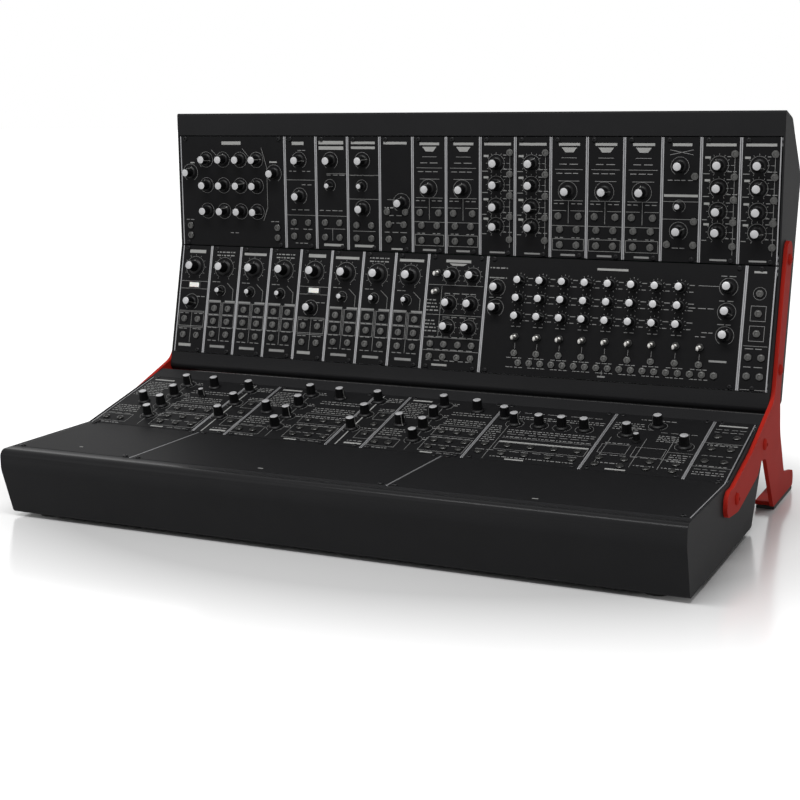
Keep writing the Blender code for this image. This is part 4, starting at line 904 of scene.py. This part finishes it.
def mark(builder, kind, values, start, width):
    """One printed mark of a module, from shares of its width and of the panel height."""
    spots = [(start + across * width, up * PANEL_HEIGHT) for across, up in zip(values[::2], values[1::2])]
    left, low = spots[0]
    right, high = spots[-1]
    if kind in ("bar", "block"):
        slab(builder, left, low, right, high, INK_LOW, INK_HIGH)
    elif kind == "fill":
        stack(builder, [[(*spot, z) for spot in spots] for z in (INK_LOW, INK_HIGH)])
    elif kind == "line":
        ribbon(builder, spots, LINE_WIDTH)
    elif kind == "box":
        ribbon(builder, [(left, low), (right, low), (right, high), (left, high)], LINE_WIDTH, closed=True)
    elif kind == "ticks":
        radius = values[2] * MM
        for i in range(TICK_COUNT):
            angle = math.radians(DIAL_START - TICK_TURN * i)
            out = Vector((math.cos(angle), math.sin(angle)))
            ends = [Vector(spots[0]) + out * reach for reach in (radius, radius + TICK_LENGTH)]
            ribbon(builder, ends, LINE_WIDTH)
    elif kind in ("dial", "ring"):
        radius = values[2] * MM
        sweep = math.tau if kind == "ring" else math.radians(DIAL_SWEEP)
        angles = [math.radians(DIAL_START) - sweep * i / DIAL_STEPS
                  for i in range(DIAL_STEPS + (kind == "dial"))]
        ribbon(builder, [(left + radius * math.cos(a), low + radius * math.sin(a)) for a in angles],
               DIAL_WIDTH, closed=kind == "ring")
    elif kind == "field":
        lines = max(1, round((high - low) / FIELD_PITCH))
        for j in range(lines):
            x, s = left, high - (j + FIELD_BASE) * (high - low) / lines
            for i in range(MOST_BARS):
                length = (SHORT_BAR + BAR_STEP * ((i * 5 + j * 3) % 4)) * MM
                if x + length > right:
                    break
                slab(builder, x, s, x + length, s + FIELD_HEIGHT, INK_LOW, INK_HIGH)
                x += length + FIELD_GAP
    elif kind == "words":
        up, count = values[1], values[3]
        pitch = (right - left) / count
        for i in range(count):
            x = left + i * pitch
            length = pitch * (WORD_SHARE + WORD_SPREAD * ((i * 7 + int(up * 1000)) % 3) / 2)
            slab(builder, x, low, x + length, low + WORD_HEIGHT, INK_LOW, INK_HIGH)


for row in MODULES:
    builder = bmesh.new()
    for unit, start, width in laid_out(row):
        for kind, *values in unit["marks"]:
            known = len(builder.faces)
            mark(builder, kind, values, start, width)
            builder.faces.ensure_lookup_table()
            for face in builder.faces[known:]:
                face.material_index = 0 if kind in SOLID_MARKS else 1
    piece = mesh_object("row_%s_print" % row, builder, solid_ink)
    piece.data.materials.append(thin_ink)
    piece.data.transform(ROWS[row])
    keep(piece, "frame", "panel")


# Screws: M3 button heads with a hexagon socket, black oxide, through the panel into the rail's strip.
# One tree stamps a template on every place, and is used for all that repeats on the panels.
FINISH_NAMES = ("First finish", "Second finish", "Third finish")
TEMPLATE_ANGLE = math.radians(38)


def stamping_tree():
    """Geometry Nodes that stamp a piece on points, turn each one, and give its parts up to three finishes."""
    tree = bpy.data.node_groups.new("stamp a piece on points", "GeometryNodeTree")
    tree.is_modifier = True
    tree.interface.new_socket("Geometry", in_out="OUTPUT", socket_type="NodeSocketGeometry")
    for name, kind in (("Geometry", "Geometry"), ("Piece", "Object"), *zip(FINISH_NAMES, ["Material"] * 3)):
        tree.interface.new_socket(name, in_out="INPUT", socket_type="NodeSocket" + kind)
    nodes, links = tree.nodes, tree.links
    entry, leave, piece, turn, angles, stamp, real = (nodes.new(kind) for kind in (
        "NodeGroupInput", "NodeGroupOutput", "GeometryNodeObjectInfo", "GeometryNodeInputNamedAttribute",
        "ShaderNodeCombineXYZ", "GeometryNodeInstanceOnPoints", "GeometryNodeRealizeInstances"))
    turn.inputs["Name"].default_value = "turn"
    for source, output, node, name in (
            (entry, "Piece", piece, "Object"), (turn, "Attribute", angles, "Z"),
            (entry, "Geometry", stamp, "Points"), (piece, "Geometry", stamp, "Instance"),
            (angles, "Vector", stamp, "Rotation"), (stamp, "Instances", real, "Geometry")):
        links.new(source.outputs[output], node.inputs[name])
    last = real.outputs["Geometry"]
    for i, name in enumerate(FINISH_NAMES):
        part, same, paint = (nodes.new(kind) for kind in (
            "GeometryNodeInputNamedAttribute", "FunctionNodeCompare", "GeometryNodeSetMaterial"))
        part.data_type = "INT"
        part.inputs["Name"].default_value = "part"
        same.data_type, same.operation = "INT", "EQUAL"
        same.inputs[3].default_value = i
        links.new(part.outputs["Attribute"], same.inputs[2])
        links.new(last, paint.inputs["Geometry"])
        links.new(same.outputs["Result"], paint.inputs["Selection"])
        links.new(entry.outputs[name], paint.inputs["Material"])
        last = paint.outputs["Geometry"]
    links.new(last, leave.inputs["Geometry"])
    return tree


stamp_tree = stamping_tree()


def template(name, parts):
    """A piece to stamp, from rings of equal length for each of its parts, in the order of its finishes."""
    builder = bmesh.new()
    layer = builder.faces.layers.int.new("part")
    for number, stacks in enumerate(parts):
        for rings in stacks:
            known = set(builder.faces)
            stack(builder, rings)
            for face in builder.faces:
                if face not in known:
                    face[layer] = number
    return mesh_object(name, builder, None, TEMPLATE_ANGLE)


def stamped(name, piece, spots, place, finishes):
    """A plain mesh of a piece stamped on every spot (x, y, turn) of a plane."""
    mesh = bpy.data.meshes.new(name)
    mesh.from_pydata([(x, y, 0) for x, y, turn in spots], [], [])
    turns = mesh.attributes.new("turn", "FLOAT", "POINT")
    turns.data.foreach_set("value", [turn for x, y, turn in spots])
    thing = bpy.data.objects.new(name, mesh)
    bpy.context.collection.objects.link(thing)
    modifier = thing.modifiers.new("stamp", "NODES")
    modifier.node_group = stamp_tree
    values = dict(zip(FINISH_NAMES, finishes + finishes[-1:] * 2), Piece=piece)
    for item in stamp_tree.interface.items_tree:
        if item.in_out == "INPUT" and item.name in values:
            modifier[item.identifier] = values[item.name]
    settle(thing)
    thing.data.transform(place)
    return thing


def mm(*points):
    """Points given in millimetres, in metres."""
    return [tuple(value * MM for value in point) for point in points]


# Black oxide is thin and dark, a little glossier than the anodised face round it.
black_oxide = surface("black oxide steel", "#0d0d0e", 0.36, 0, (0.4, 0.01), ("#0b0b0c", "#111113"),
                      Specular_IOR_Level=0.15)
ROUND_SIDES = 12
screw_profile = mm((2.7, -0.3), (2.8, 0.5), (2.4, 1.1), (1.6, 1.4), (1.15, 1.4), (1.1, 0.5))
screw = template("screw", [[turned(screw_profile, ROUND_SIDES)]])
LEFT_TURN, RIGHT_TURN, TURN_RATE = 0.4, 1.1, 900
SCREW_INSET = 3.0 * MM
SCREW_COLUMN = 7.5 * MM
ONE_COLUMN_HP = 6
TWO_SCREW_HP = 8
# Narrow modules have one column of screws, those of 8 pitches two screws at opposite corners, and
# wider ones four. Each screw has stopped at a turn of its own.
for row in MODULES:
    spots = []
    for unit, start, width in laid_out(row):
        low, high = SCREW_INSET, PANEL_HEIGHT - SCREW_INSET
        columns = (SCREW_COLUMN, width - SCREW_COLUMN) if unit["width"] > ONE_COLUMN_HP else (width / 2,)
        if unit["width"] == TWO_SCREW_HP:
            spots += [(start + columns[0], high, LEFT_TURN), (start + columns[1], low, RIGHT_TURN)]
        else:
            spots += [(start + x, s, x * TURN_RATE) for x in columns for s in (low, high)]
    keep(stamped("row_%s_screws" % row, screw, spots, ROWS[row], [black_oxide]), "frame", "rail")
bpy.data.objects.remove(screw)


# Sockets: 3.5 mm jacks, a nickel hexagon nut over a turned sleeve, its bore lined with black plastic.
# The nut's face catches the light, and its bore goes 5 mm down.
dark_nickel = surface("black nickel plate", "#505051", 0.34, 1, (0.3, 0.006), ("#474746", "#595958"))
# Nylon: moulded, black and dull, so that the bore reads as a dark hole.
socket_black = surface("black nylon liner", "#0c0c0d", 0.5, 0, (0.3, 0.008), ("#0a0a0b", "#0f0f10"),
                       Specular_IOR_Level=0.2)
NUT_CORNER, NUT_FLAT = 4.0, 3.72
BUSH_NUT = 3.9 / 4
# The nuts have stopped at turns of their own, within a sixth of a full one.
NUT_TURN_RATE, NUT_TURN = 7919, 1.05


def nut(size, levels):
    """Rings of a hexagon nut, its corners turned down, from levels of (share of its size, height in mm)."""
    corners = [(math.cos(math.tau * i / 12) * reach, math.sin(math.tau * i / 12) * reach)
               for i, reach in enumerate((NUT_CORNER, NUT_FLAT) * 6)]
    return [[(x * k * size * MM, y * k * size * MM, z * MM) for x, y in corners] for k, z in levels]


nut_rings = nut(1, ((0.98, -0.1), (1.0, 0.15), (1.0, 1.35), (0.93, 1.6)))
nut_rings += turned(mm((2.75, 1.6), (2.65, 2.1), (2.45, 2.2), (1.95, 2.2), (1.8, 2.0), (1.8, 1.2)),
                    ROUND_SIDES)
liner = turned(mm((2.4, -5.8), (2.4, 1.3), (1.78, 1.3), (1.72, -5.0)), ROUND_SIDES)
socket = template("socket", [[nut_rings], [liner]])
for row in "abc":
    spots = [(x, s, (x * NUT_TURN_RATE) % NUT_TURN) for name, x, s in places(row, "jacks")]
    piece = stamped("row_%s_sockets" % row, socket, spots, ROWS[row], [dark_nickel, socket_black])
    keep(piece, "frame", "lever")
bpy.data.objects.remove(socket)


# Knobs: moulded black caps with flutes and a sloping skirt, and a spun aluminium disc let into the top.
# A white line is printed down one side. The fixed ones stand at settings of a patch in use.
# Phenolic: moulded from black powder and rumbled, so that its flutes take a soft light.
knob_plastic = surface("black moulded phenolic", "#0c0c0d", 0.4, 0, (0.25, 0.006), ("#0a0a0b", "#0f0f10"),
                       Specular_IOR_Level=0.16)
# Spun aluminium: a lathe turned disc, bead blasted after, so that it is pale from every side.
spun_aluminium = surface("spun aluminium", "#b0b0b2", 0.45, 0.35, (0.2, 0.004), ("#aaaaac", "#b8b8b9"))
# Indicator paint: run into a groove, worn to grey.
indicator_paint = surface("white indicator paint", "#8a8a88", 0.5, 0, (0.3, 0.01), ("#80807e", "#969694"))


def knob_template(name, size, sides):
    """A skirted and fluted knob with its disc and line, from skirt, body and cap radius and height."""
    skirt, body, cap, height = size
    low = 0.3 * MM
    flute = 0.45 * MM
    half = 0.25 * MM
    sloped = [(skirt - 0.5 * MM, low), (skirt, low + 0.3 * MM), (skirt, 1.0 * MM),
              (skirt - 0.3 * MM, 1.35 * MM), (body + 0.45 * MM, 2.2 * MM), (body, 2.45 * MM, True),
              (cap + 0.25 * MM, height - 1.0 * MM, True), (cap + 0.05 * MM, height - 0.45 * MM),
              (cap - 0.25 * MM, height - 0.2 * MM)]
    disc = [(cap - 0.6 * MM, height - 0.6 * MM), (cap - 0.45 * MM, height - 0.12 * MM),
            (cap - 0.7 * MM, height)]
    face = [(body + 0.1 * MM, 2.3 * MM), (cap + 0.35 * MM, height - 0.9 * MM),
            (cap - 0.1 * MM, height - 0.9 * MM), (body - 0.6 * MM, 2.3 * MM)]
    foot = [(skirt + 0.02 * MM, 0.7 * MM), (skirt + 0.02 * MM, 1.1 * MM), (body + 0.5 * MM, 2.3 * MM),
            (body, 2.2 * MM), (body, 0.7 * MM)]
    line = [[[(x, y, z) for y, z in run] for x in (-half, half)] for run in (face, foot)]
    return template(name, [[turned(sloped, sides, flute)], [turned(disc, sides)], line])


medium_knob = knob_template("medium_knob", MEDIUM_KNOB, 28)
step_knob = knob_template("step_knob", STEP_KNOB, 24)
trim_knob = knob_template("trim_knob", TRIM_KNOB, 20)
large_knob = knob_template("large_knob", LARGE_KNOB, 36)
knob_finishes = [knob_plastic, spun_aluminium, indicator_paint]
SETTING_START, SETTING_STEP, SETTING_RANGE = 31, 97, 270
for row in "abc":
    for kind, piece in (("knobs", medium_knob), ("steps", step_knob), ("trims", trim_knob)):
        spots = [(x, s, math.radians((i * SETTING_STEP + SETTING_START) % SETTING_RANGE - SETTING_RANGE / 2))
                 for i, (name, x, s) in enumerate(places(row, kind))]
        if spots:
            thing = stamped("row_%s_%s" % (row, kind), piece, spots, ROWS[row], knob_finishes)
            keep(thing, "frame", "knob")
for row, piece in (("a", medium_knob), ("b", large_knob)):
    for name, x, s in places(row, "turning"):
        thing = stamped(name + "_dressed", piece, [(x, s, 0)], ROWS[row], knob_finishes)
        keep(thing, name + "_body", "knob", name)
for piece in (medium_knob, step_knob, trim_knob, large_knob):
    bpy.data.objects.remove(piece)


# Toggle switches: a bat lever of satin nickel on a ball, in a dark threaded bush with a hexagon nut.
# The levers are down at rest, and their balls turn 2.6 mm above the panel.
# Satin nickel: brushed before plating, so that it is bright with soft reflections.
satin_nickel = surface("satin nickel plate", "#dcdad6", 0.38, 0.45, (0.3, 0.006), ("#d4d2ce", "#e2e0dc"))
PIVOT_HEIGHT = 2.6 * MM
BALL_RADIUS = 2.2 * MM
LEVER_THROW = math.radians(14)
LEVER_SIDES = 20
LEVER_NECK_END = 4.0 * MM
BAT_DEPTH = 1.6
bush_rings = nut(BUSH_NUT, ((0.98, -0.1), (1.0, 0.15), (1.0, 1.7), (0.93, 1.9)))
bush_rings += turned(mm((3.2, 1.9), (3.2, 4.3), (3.0, 4.6), (2.6, 4.6), (2.6, 0.25)), ROUND_SIDES)
bush = template("bush", [[bush_rings]])
spots = [(x, s, 0) for name, x, s in places("b", "toggles")]
keep(stamped("toggle_bushes", bush, spots, ROWS["b"], [dark_nickel]), "frame", "lever")
bpy.data.objects.remove(bush)
ball = [(BALL_RADIUS * math.cos(math.radians(a)), BALL_RADIUS * math.sin(math.radians(a)))
        for a in range(-45, 61, 15)]
bat = ball + mm((1.0, 2.4), (1.1, 4.0), (1.6, 7.4), (1.65, 9.4), (1.3, 10.2), (0.6, 10.4))
lever = template("lever", [[[[(px, py * BAT_DEPTH if pz > LEVER_NECK_END else py, pz) for px, py, pz in ring]
                             for ring in turned(bat, LEVER_SIDES)]]])
for name, x, s in places("b", "toggles"):
    pivot = Matrix.Translation((x, s, PIVOT_HEIGHT)) @ Matrix.Rotation(LEVER_THROW, 4, "X")
    thing = stamped(name + "_dressed", lever, [(0, 0, 0)], ROWS["b"] @ pivot, [satin_nickel])
    keep(thing, name + "_body", "lever", name)
bpy.data.objects.remove(lever)


# Rockers: moulded nylon paddles, white on the first and fifth modules and black in the rear walls,
# each in a thin moulded frame. They are the CAD's own shapes with their edges rounded.
CAD_WELD = 1e-6
FLAT_ANGLE = math.radians(1)


def collar(name, loops, place, material):
    """A frame round an opening: rectangles of (half x, half y, z), bridged one to the next and back."""
    builder = bmesh.new()
    rings = [[builder.verts.new(place @ Vector(point)) for point in rectangle(*loop)] for loop in loops]
    bridge(builder, rings + rings[:1])
    piece = mesh_object(name, builder, material)
    soften(piece, 0.3 * MM)
    return piece


def dressed(node, material, width):
    """A copy of a CAD node as one closed mesh with rounded edges."""
    builder = bmesh.new()
    builder.from_mesh(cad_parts[node].data)
    bmesh.ops.remove_doubles(builder, verts=builder.verts, dist=CAD_WELD)
    bmesh.ops.dissolve_limit(builder, angle_limit=FLAT_ANGLE, verts=builder.verts, edges=builder.edges)
    piece = mesh_object(node + "_dressed", builder, material)
    soften(piece, width, segments=3)
    return piece


# White nylon: natural colour, satin from the mould, a little translucent at its edges.
white_nylon = surface("white moulded nylon", "#e8e8e4", 0.35, 0, (0.4, 0.005), ("#e5e5e0", "#ebebe7"),
                      Subsurface_Weight=0.1, Subsurface_Scale=0.001)
# Black nylon: the same moulding, dyed through, with a faint spark finish.
black_nylon = surface("black moulded nylon", "#161617", 0.4, 0, (0.4, 0.008), ("#141415", "#181819"))
LIP = 1.2 * MM
LIP_HEIGHT = 0.8 * MM
for name, x, s in places("b", "rockers"):
    keep(dressed(name, white_nylon, 0.35 * MM), name + "_body", "white_rocker", name)
    lip = (RANGE_WELL[0] + LIP, RANGE_WELL[1] + LIP)
    loops = [(*lip, CLEARANCE), (*lip, LIP_HEIGHT), (*RANGE_WELL, LIP_HEIGHT), (*RANGE_WELL, CLEARANCE)]
    well = ROWS["b"] @ Matrix.Translation((x, s, 0))
    keep(collar(name + "_frame", loops, well, black_nylon), "frame", "knob")
POWER_WELL = (7.9 * MM, 4.9 * MM)
FRAME_WALL = 1.4 * MM
FRAME_BRIM = 1.8 * MM
FRAME_DEPTH = 12.0 * MM
for case_name in ("lower", "upper"):
    name = case_name + "_power_rocker"
    keep(dressed(name, black_nylon, 0.5 * MM), name + "_body", "knob", name)
    wall = rear_wall_frame(CASES[case_name]) @ Matrix.Translation((POWER_SWITCH_OFFSET, 0, 0))
    outer = POWER_WELL[0] + FRAME_WALL, POWER_WELL[1] + FRAME_WALL
    brim = outer[0] + FRAME_WALL, outer[1] + FRAME_WALL
    loops = [(*brim, CLEARANCE), (*brim, FRAME_BRIM), (*POWER_WELL, FRAME_BRIM), (*POWER_WELL, -FRAME_DEPTH),
             (*outer, -FRAME_DEPTH), (*outer, CLEARANCE)]
    keep(collar(case_name + "_power_frame", loops, wall, black_nylon), "frame", "knob")


# Legs: 4 mm steel plate, laser cut to a lambda, its sole turned in, red powder coat.
# Four M6 button head bolts with hexagon sockets hold each to the end walls of both cases.
HEEL_SHARE = 1.265
# Each corner of the outline is in a case's frame: shares of the rows' depth and of row one's height,
# with the radius of its arc. The bolts are placed the same way.
LEG_CORNERS = [
    ("lower", 0.413, 0.945, 0.17), ("lower", 0.413, 0.600, 0.17), ("lower", 0.600, 0.540, 0.60),
    ("lower", 0.925, 0.755, 0.20), ("lower", 0.985, 0.925, 0.13), ("lower", 1.068, 0.895, 0.20),
    ("lower", 1.170, 0.430, 0.30), ("lower", HEEL_SHARE, 0.0, 0.04), ("lower", TOE_SHARE, 0.0, 0.06),
    ("lower", TOE_SHARE, 0.240, 0.13), ("lower", 1.460, 0.370, 0.24), ("lower", 1.345, 1.080, 0.80),
    ("upper", 0.000, 0.480, 0.60), ("upper", 0.622, 0.480, 0.19), ("upper", 0.622, 0.886, 0.19),
    ("upper", -0.024, 0.886, 0.36), ("lower", 0.806, 1.185, 0.50), ("lower", 0.509, 0.945, 0.20)]
LEG_BOLTS = [("lower", 0.560, 0.750), ("lower", 1.030, 1.130),
             ("upper", 0.547, 0.690), ("upper", 0.100, 0.690)]
LEG_PLATE = 4.0 * MM
LEG_FLANGE = 16.0 * MM
# Red coat: the same film as the cases' own, its colour even, with a little less sheen.
red_coat = surface("red powder coat", "#a3241b", 0.6, 0, (0.9, 0.03), ("#9b2119", "#aa281e"), (0.54, 0.66),
                   Specular_IOR_Level=0.04)
BOLT_SIDES = 24
bolt = template("bolt", [[turned(mm((3.0, -6), (3.0, 0.02), (5.9, 0.02), (5.95, 0.5), (5.6, 1.5), (4.6, 2.4),
                                    (3.0, 2.9), (2.1, 2.95), (2.0, 1.2)), BOLT_SIDES)]])
LEG_SOLE = FOOT_HEIGHT + GAP
for side_name, side in (("left", -1), ("right", 1)):
    line = []
    for where, across, up, radius in LEG_CORNERS:
        spot = CASES[where] @ Vector((0, across * ROWS_DEPTH, up * ROW_ONE_HEIGHT))
        line.append((spot.y, spot.z, radius * ROW_ONE_HEIGHT))
    inner, outer = side * (OUTER_HALF + GAP), side * (OUTER_HALF + GAP + LEG_PLATE)
    builder = bmesh.new()
    stack(builder, [[(x, y, z) for y, z in rounded(line)] for x in sorted((inner, outer))])
    leg = mesh_object(side_name + "_leg_plate", builder, red_coat)
    heel, toe = HEEL_SHARE * ROWS_DEPTH - CENTRE + LEG_PLATE, TOE_SHARE * ROWS_DEPTH - CENTRE - LEG_PLATE
    builder = bmesh.new()
    edges = sorted((inner - side * LEG_FLANGE, inner + side * LEG_PLATE / 2))
    slab(builder, edges[0], heel, edges[1], toe, LEG_SOLE, LEG_SOLE + LEG_PLATE)
    sole = mesh_object("sole", builder, red_coat)
    modifier = leg.modifiers.new("weld", "BOOLEAN")
    modifier.operation, modifier.solver, modifier.object = "UNION", "EXACT", sole
    settle(leg)
    bpy.data.objects.remove(sole)
    soften(leg, 0.7 * MM, segments=3)
    keep(leg, "frame", "leg_steel", side_name + "_leg")
    for number, (where, across, up) in enumerate(LEG_BOLTS):
        axis = Matrix.Translation((outer, across * ROWS_DEPTH, up * ROW_ONE_HEIGHT))
        seat = CASES[where] @ axis @ Matrix.Rotation(side * math.pi / 2, 4, "Y")
        piece = stamped("%s_leg_bolt_%d" % (side_name, number + 1), bolt, [(0, 0, 0)], seat, [red_coat])
        keep(piece, "frame", "leg_steel")
bpy.data.objects.remove(bolt)


# Feet and pads: moulded rubber, pressed on under the lower case and under the soles of the legs.
# They are the CAD's own shapes with their edges rounded. The rubber is black, matt and a little dusty.
rubber = surface("black moulded rubber", "#1a1a1a", 0.85, 0, (0.6, 0.02), ("#171717", "#1d1d1c"))
for node in ("left_leg_pad", "right_leg_pad", "front_left_foot", "front_right_foot", "rear_left_foot",
             "rear_right_foot"):
    keep(dressed(node, rubber, 0.6 * MM), "frame", "rubber", node)


# Power: circuit boards with their supply, and a DC inlet and switch in each rear wall.
# The inlet is a moulded jack with a nickel pin down its bore.
# Solder mask: a glossy green lacquer over woven glass, which shows through as faint relief.
board_green = surface("green solder mask on fibreglass", "#16402c", 0.35, 0, (1.2, 0.01),
                      ("#133a28", "#194630"))
# The inlet's body and its pin, turned round their axis: radius and height over the wall, in mm.
INLET_PROFILE = ((5.6, -12), (6, -11.6), (6, 0.3), (7.8, 0.3), (8, 0.5), (8, 1.9), (7.6, 2.3), (3.5, 2.3),
                 (3.2, 2.0), (3.2, -10))
PIN_PROFILE = ((1, -10.05), (1, -0.4), (0.6, 0))
JACK_SIDES = 40
for case_name in ("lower", "upper"):
    recoat(case_name + "_power_board", board_green)
    wall = rear_wall_frame(CASES[case_name]) @ Matrix.Translation((INLET_OFFSET, 0, 0))
    name = case_name + "_dc_inlet"
    for part, points, finish in (("dressed", INLET_PROFILE, black_nylon), ("pin", PIN_PROFILE, satin_nickel)):
        builder = bmesh.new()
        stack(builder, turned(mm(*points), JACK_SIDES), wall)
        keep(mesh_object(name + "_" + part, builder, finish), "frame", "board", *[name] * (part == "dressed"))
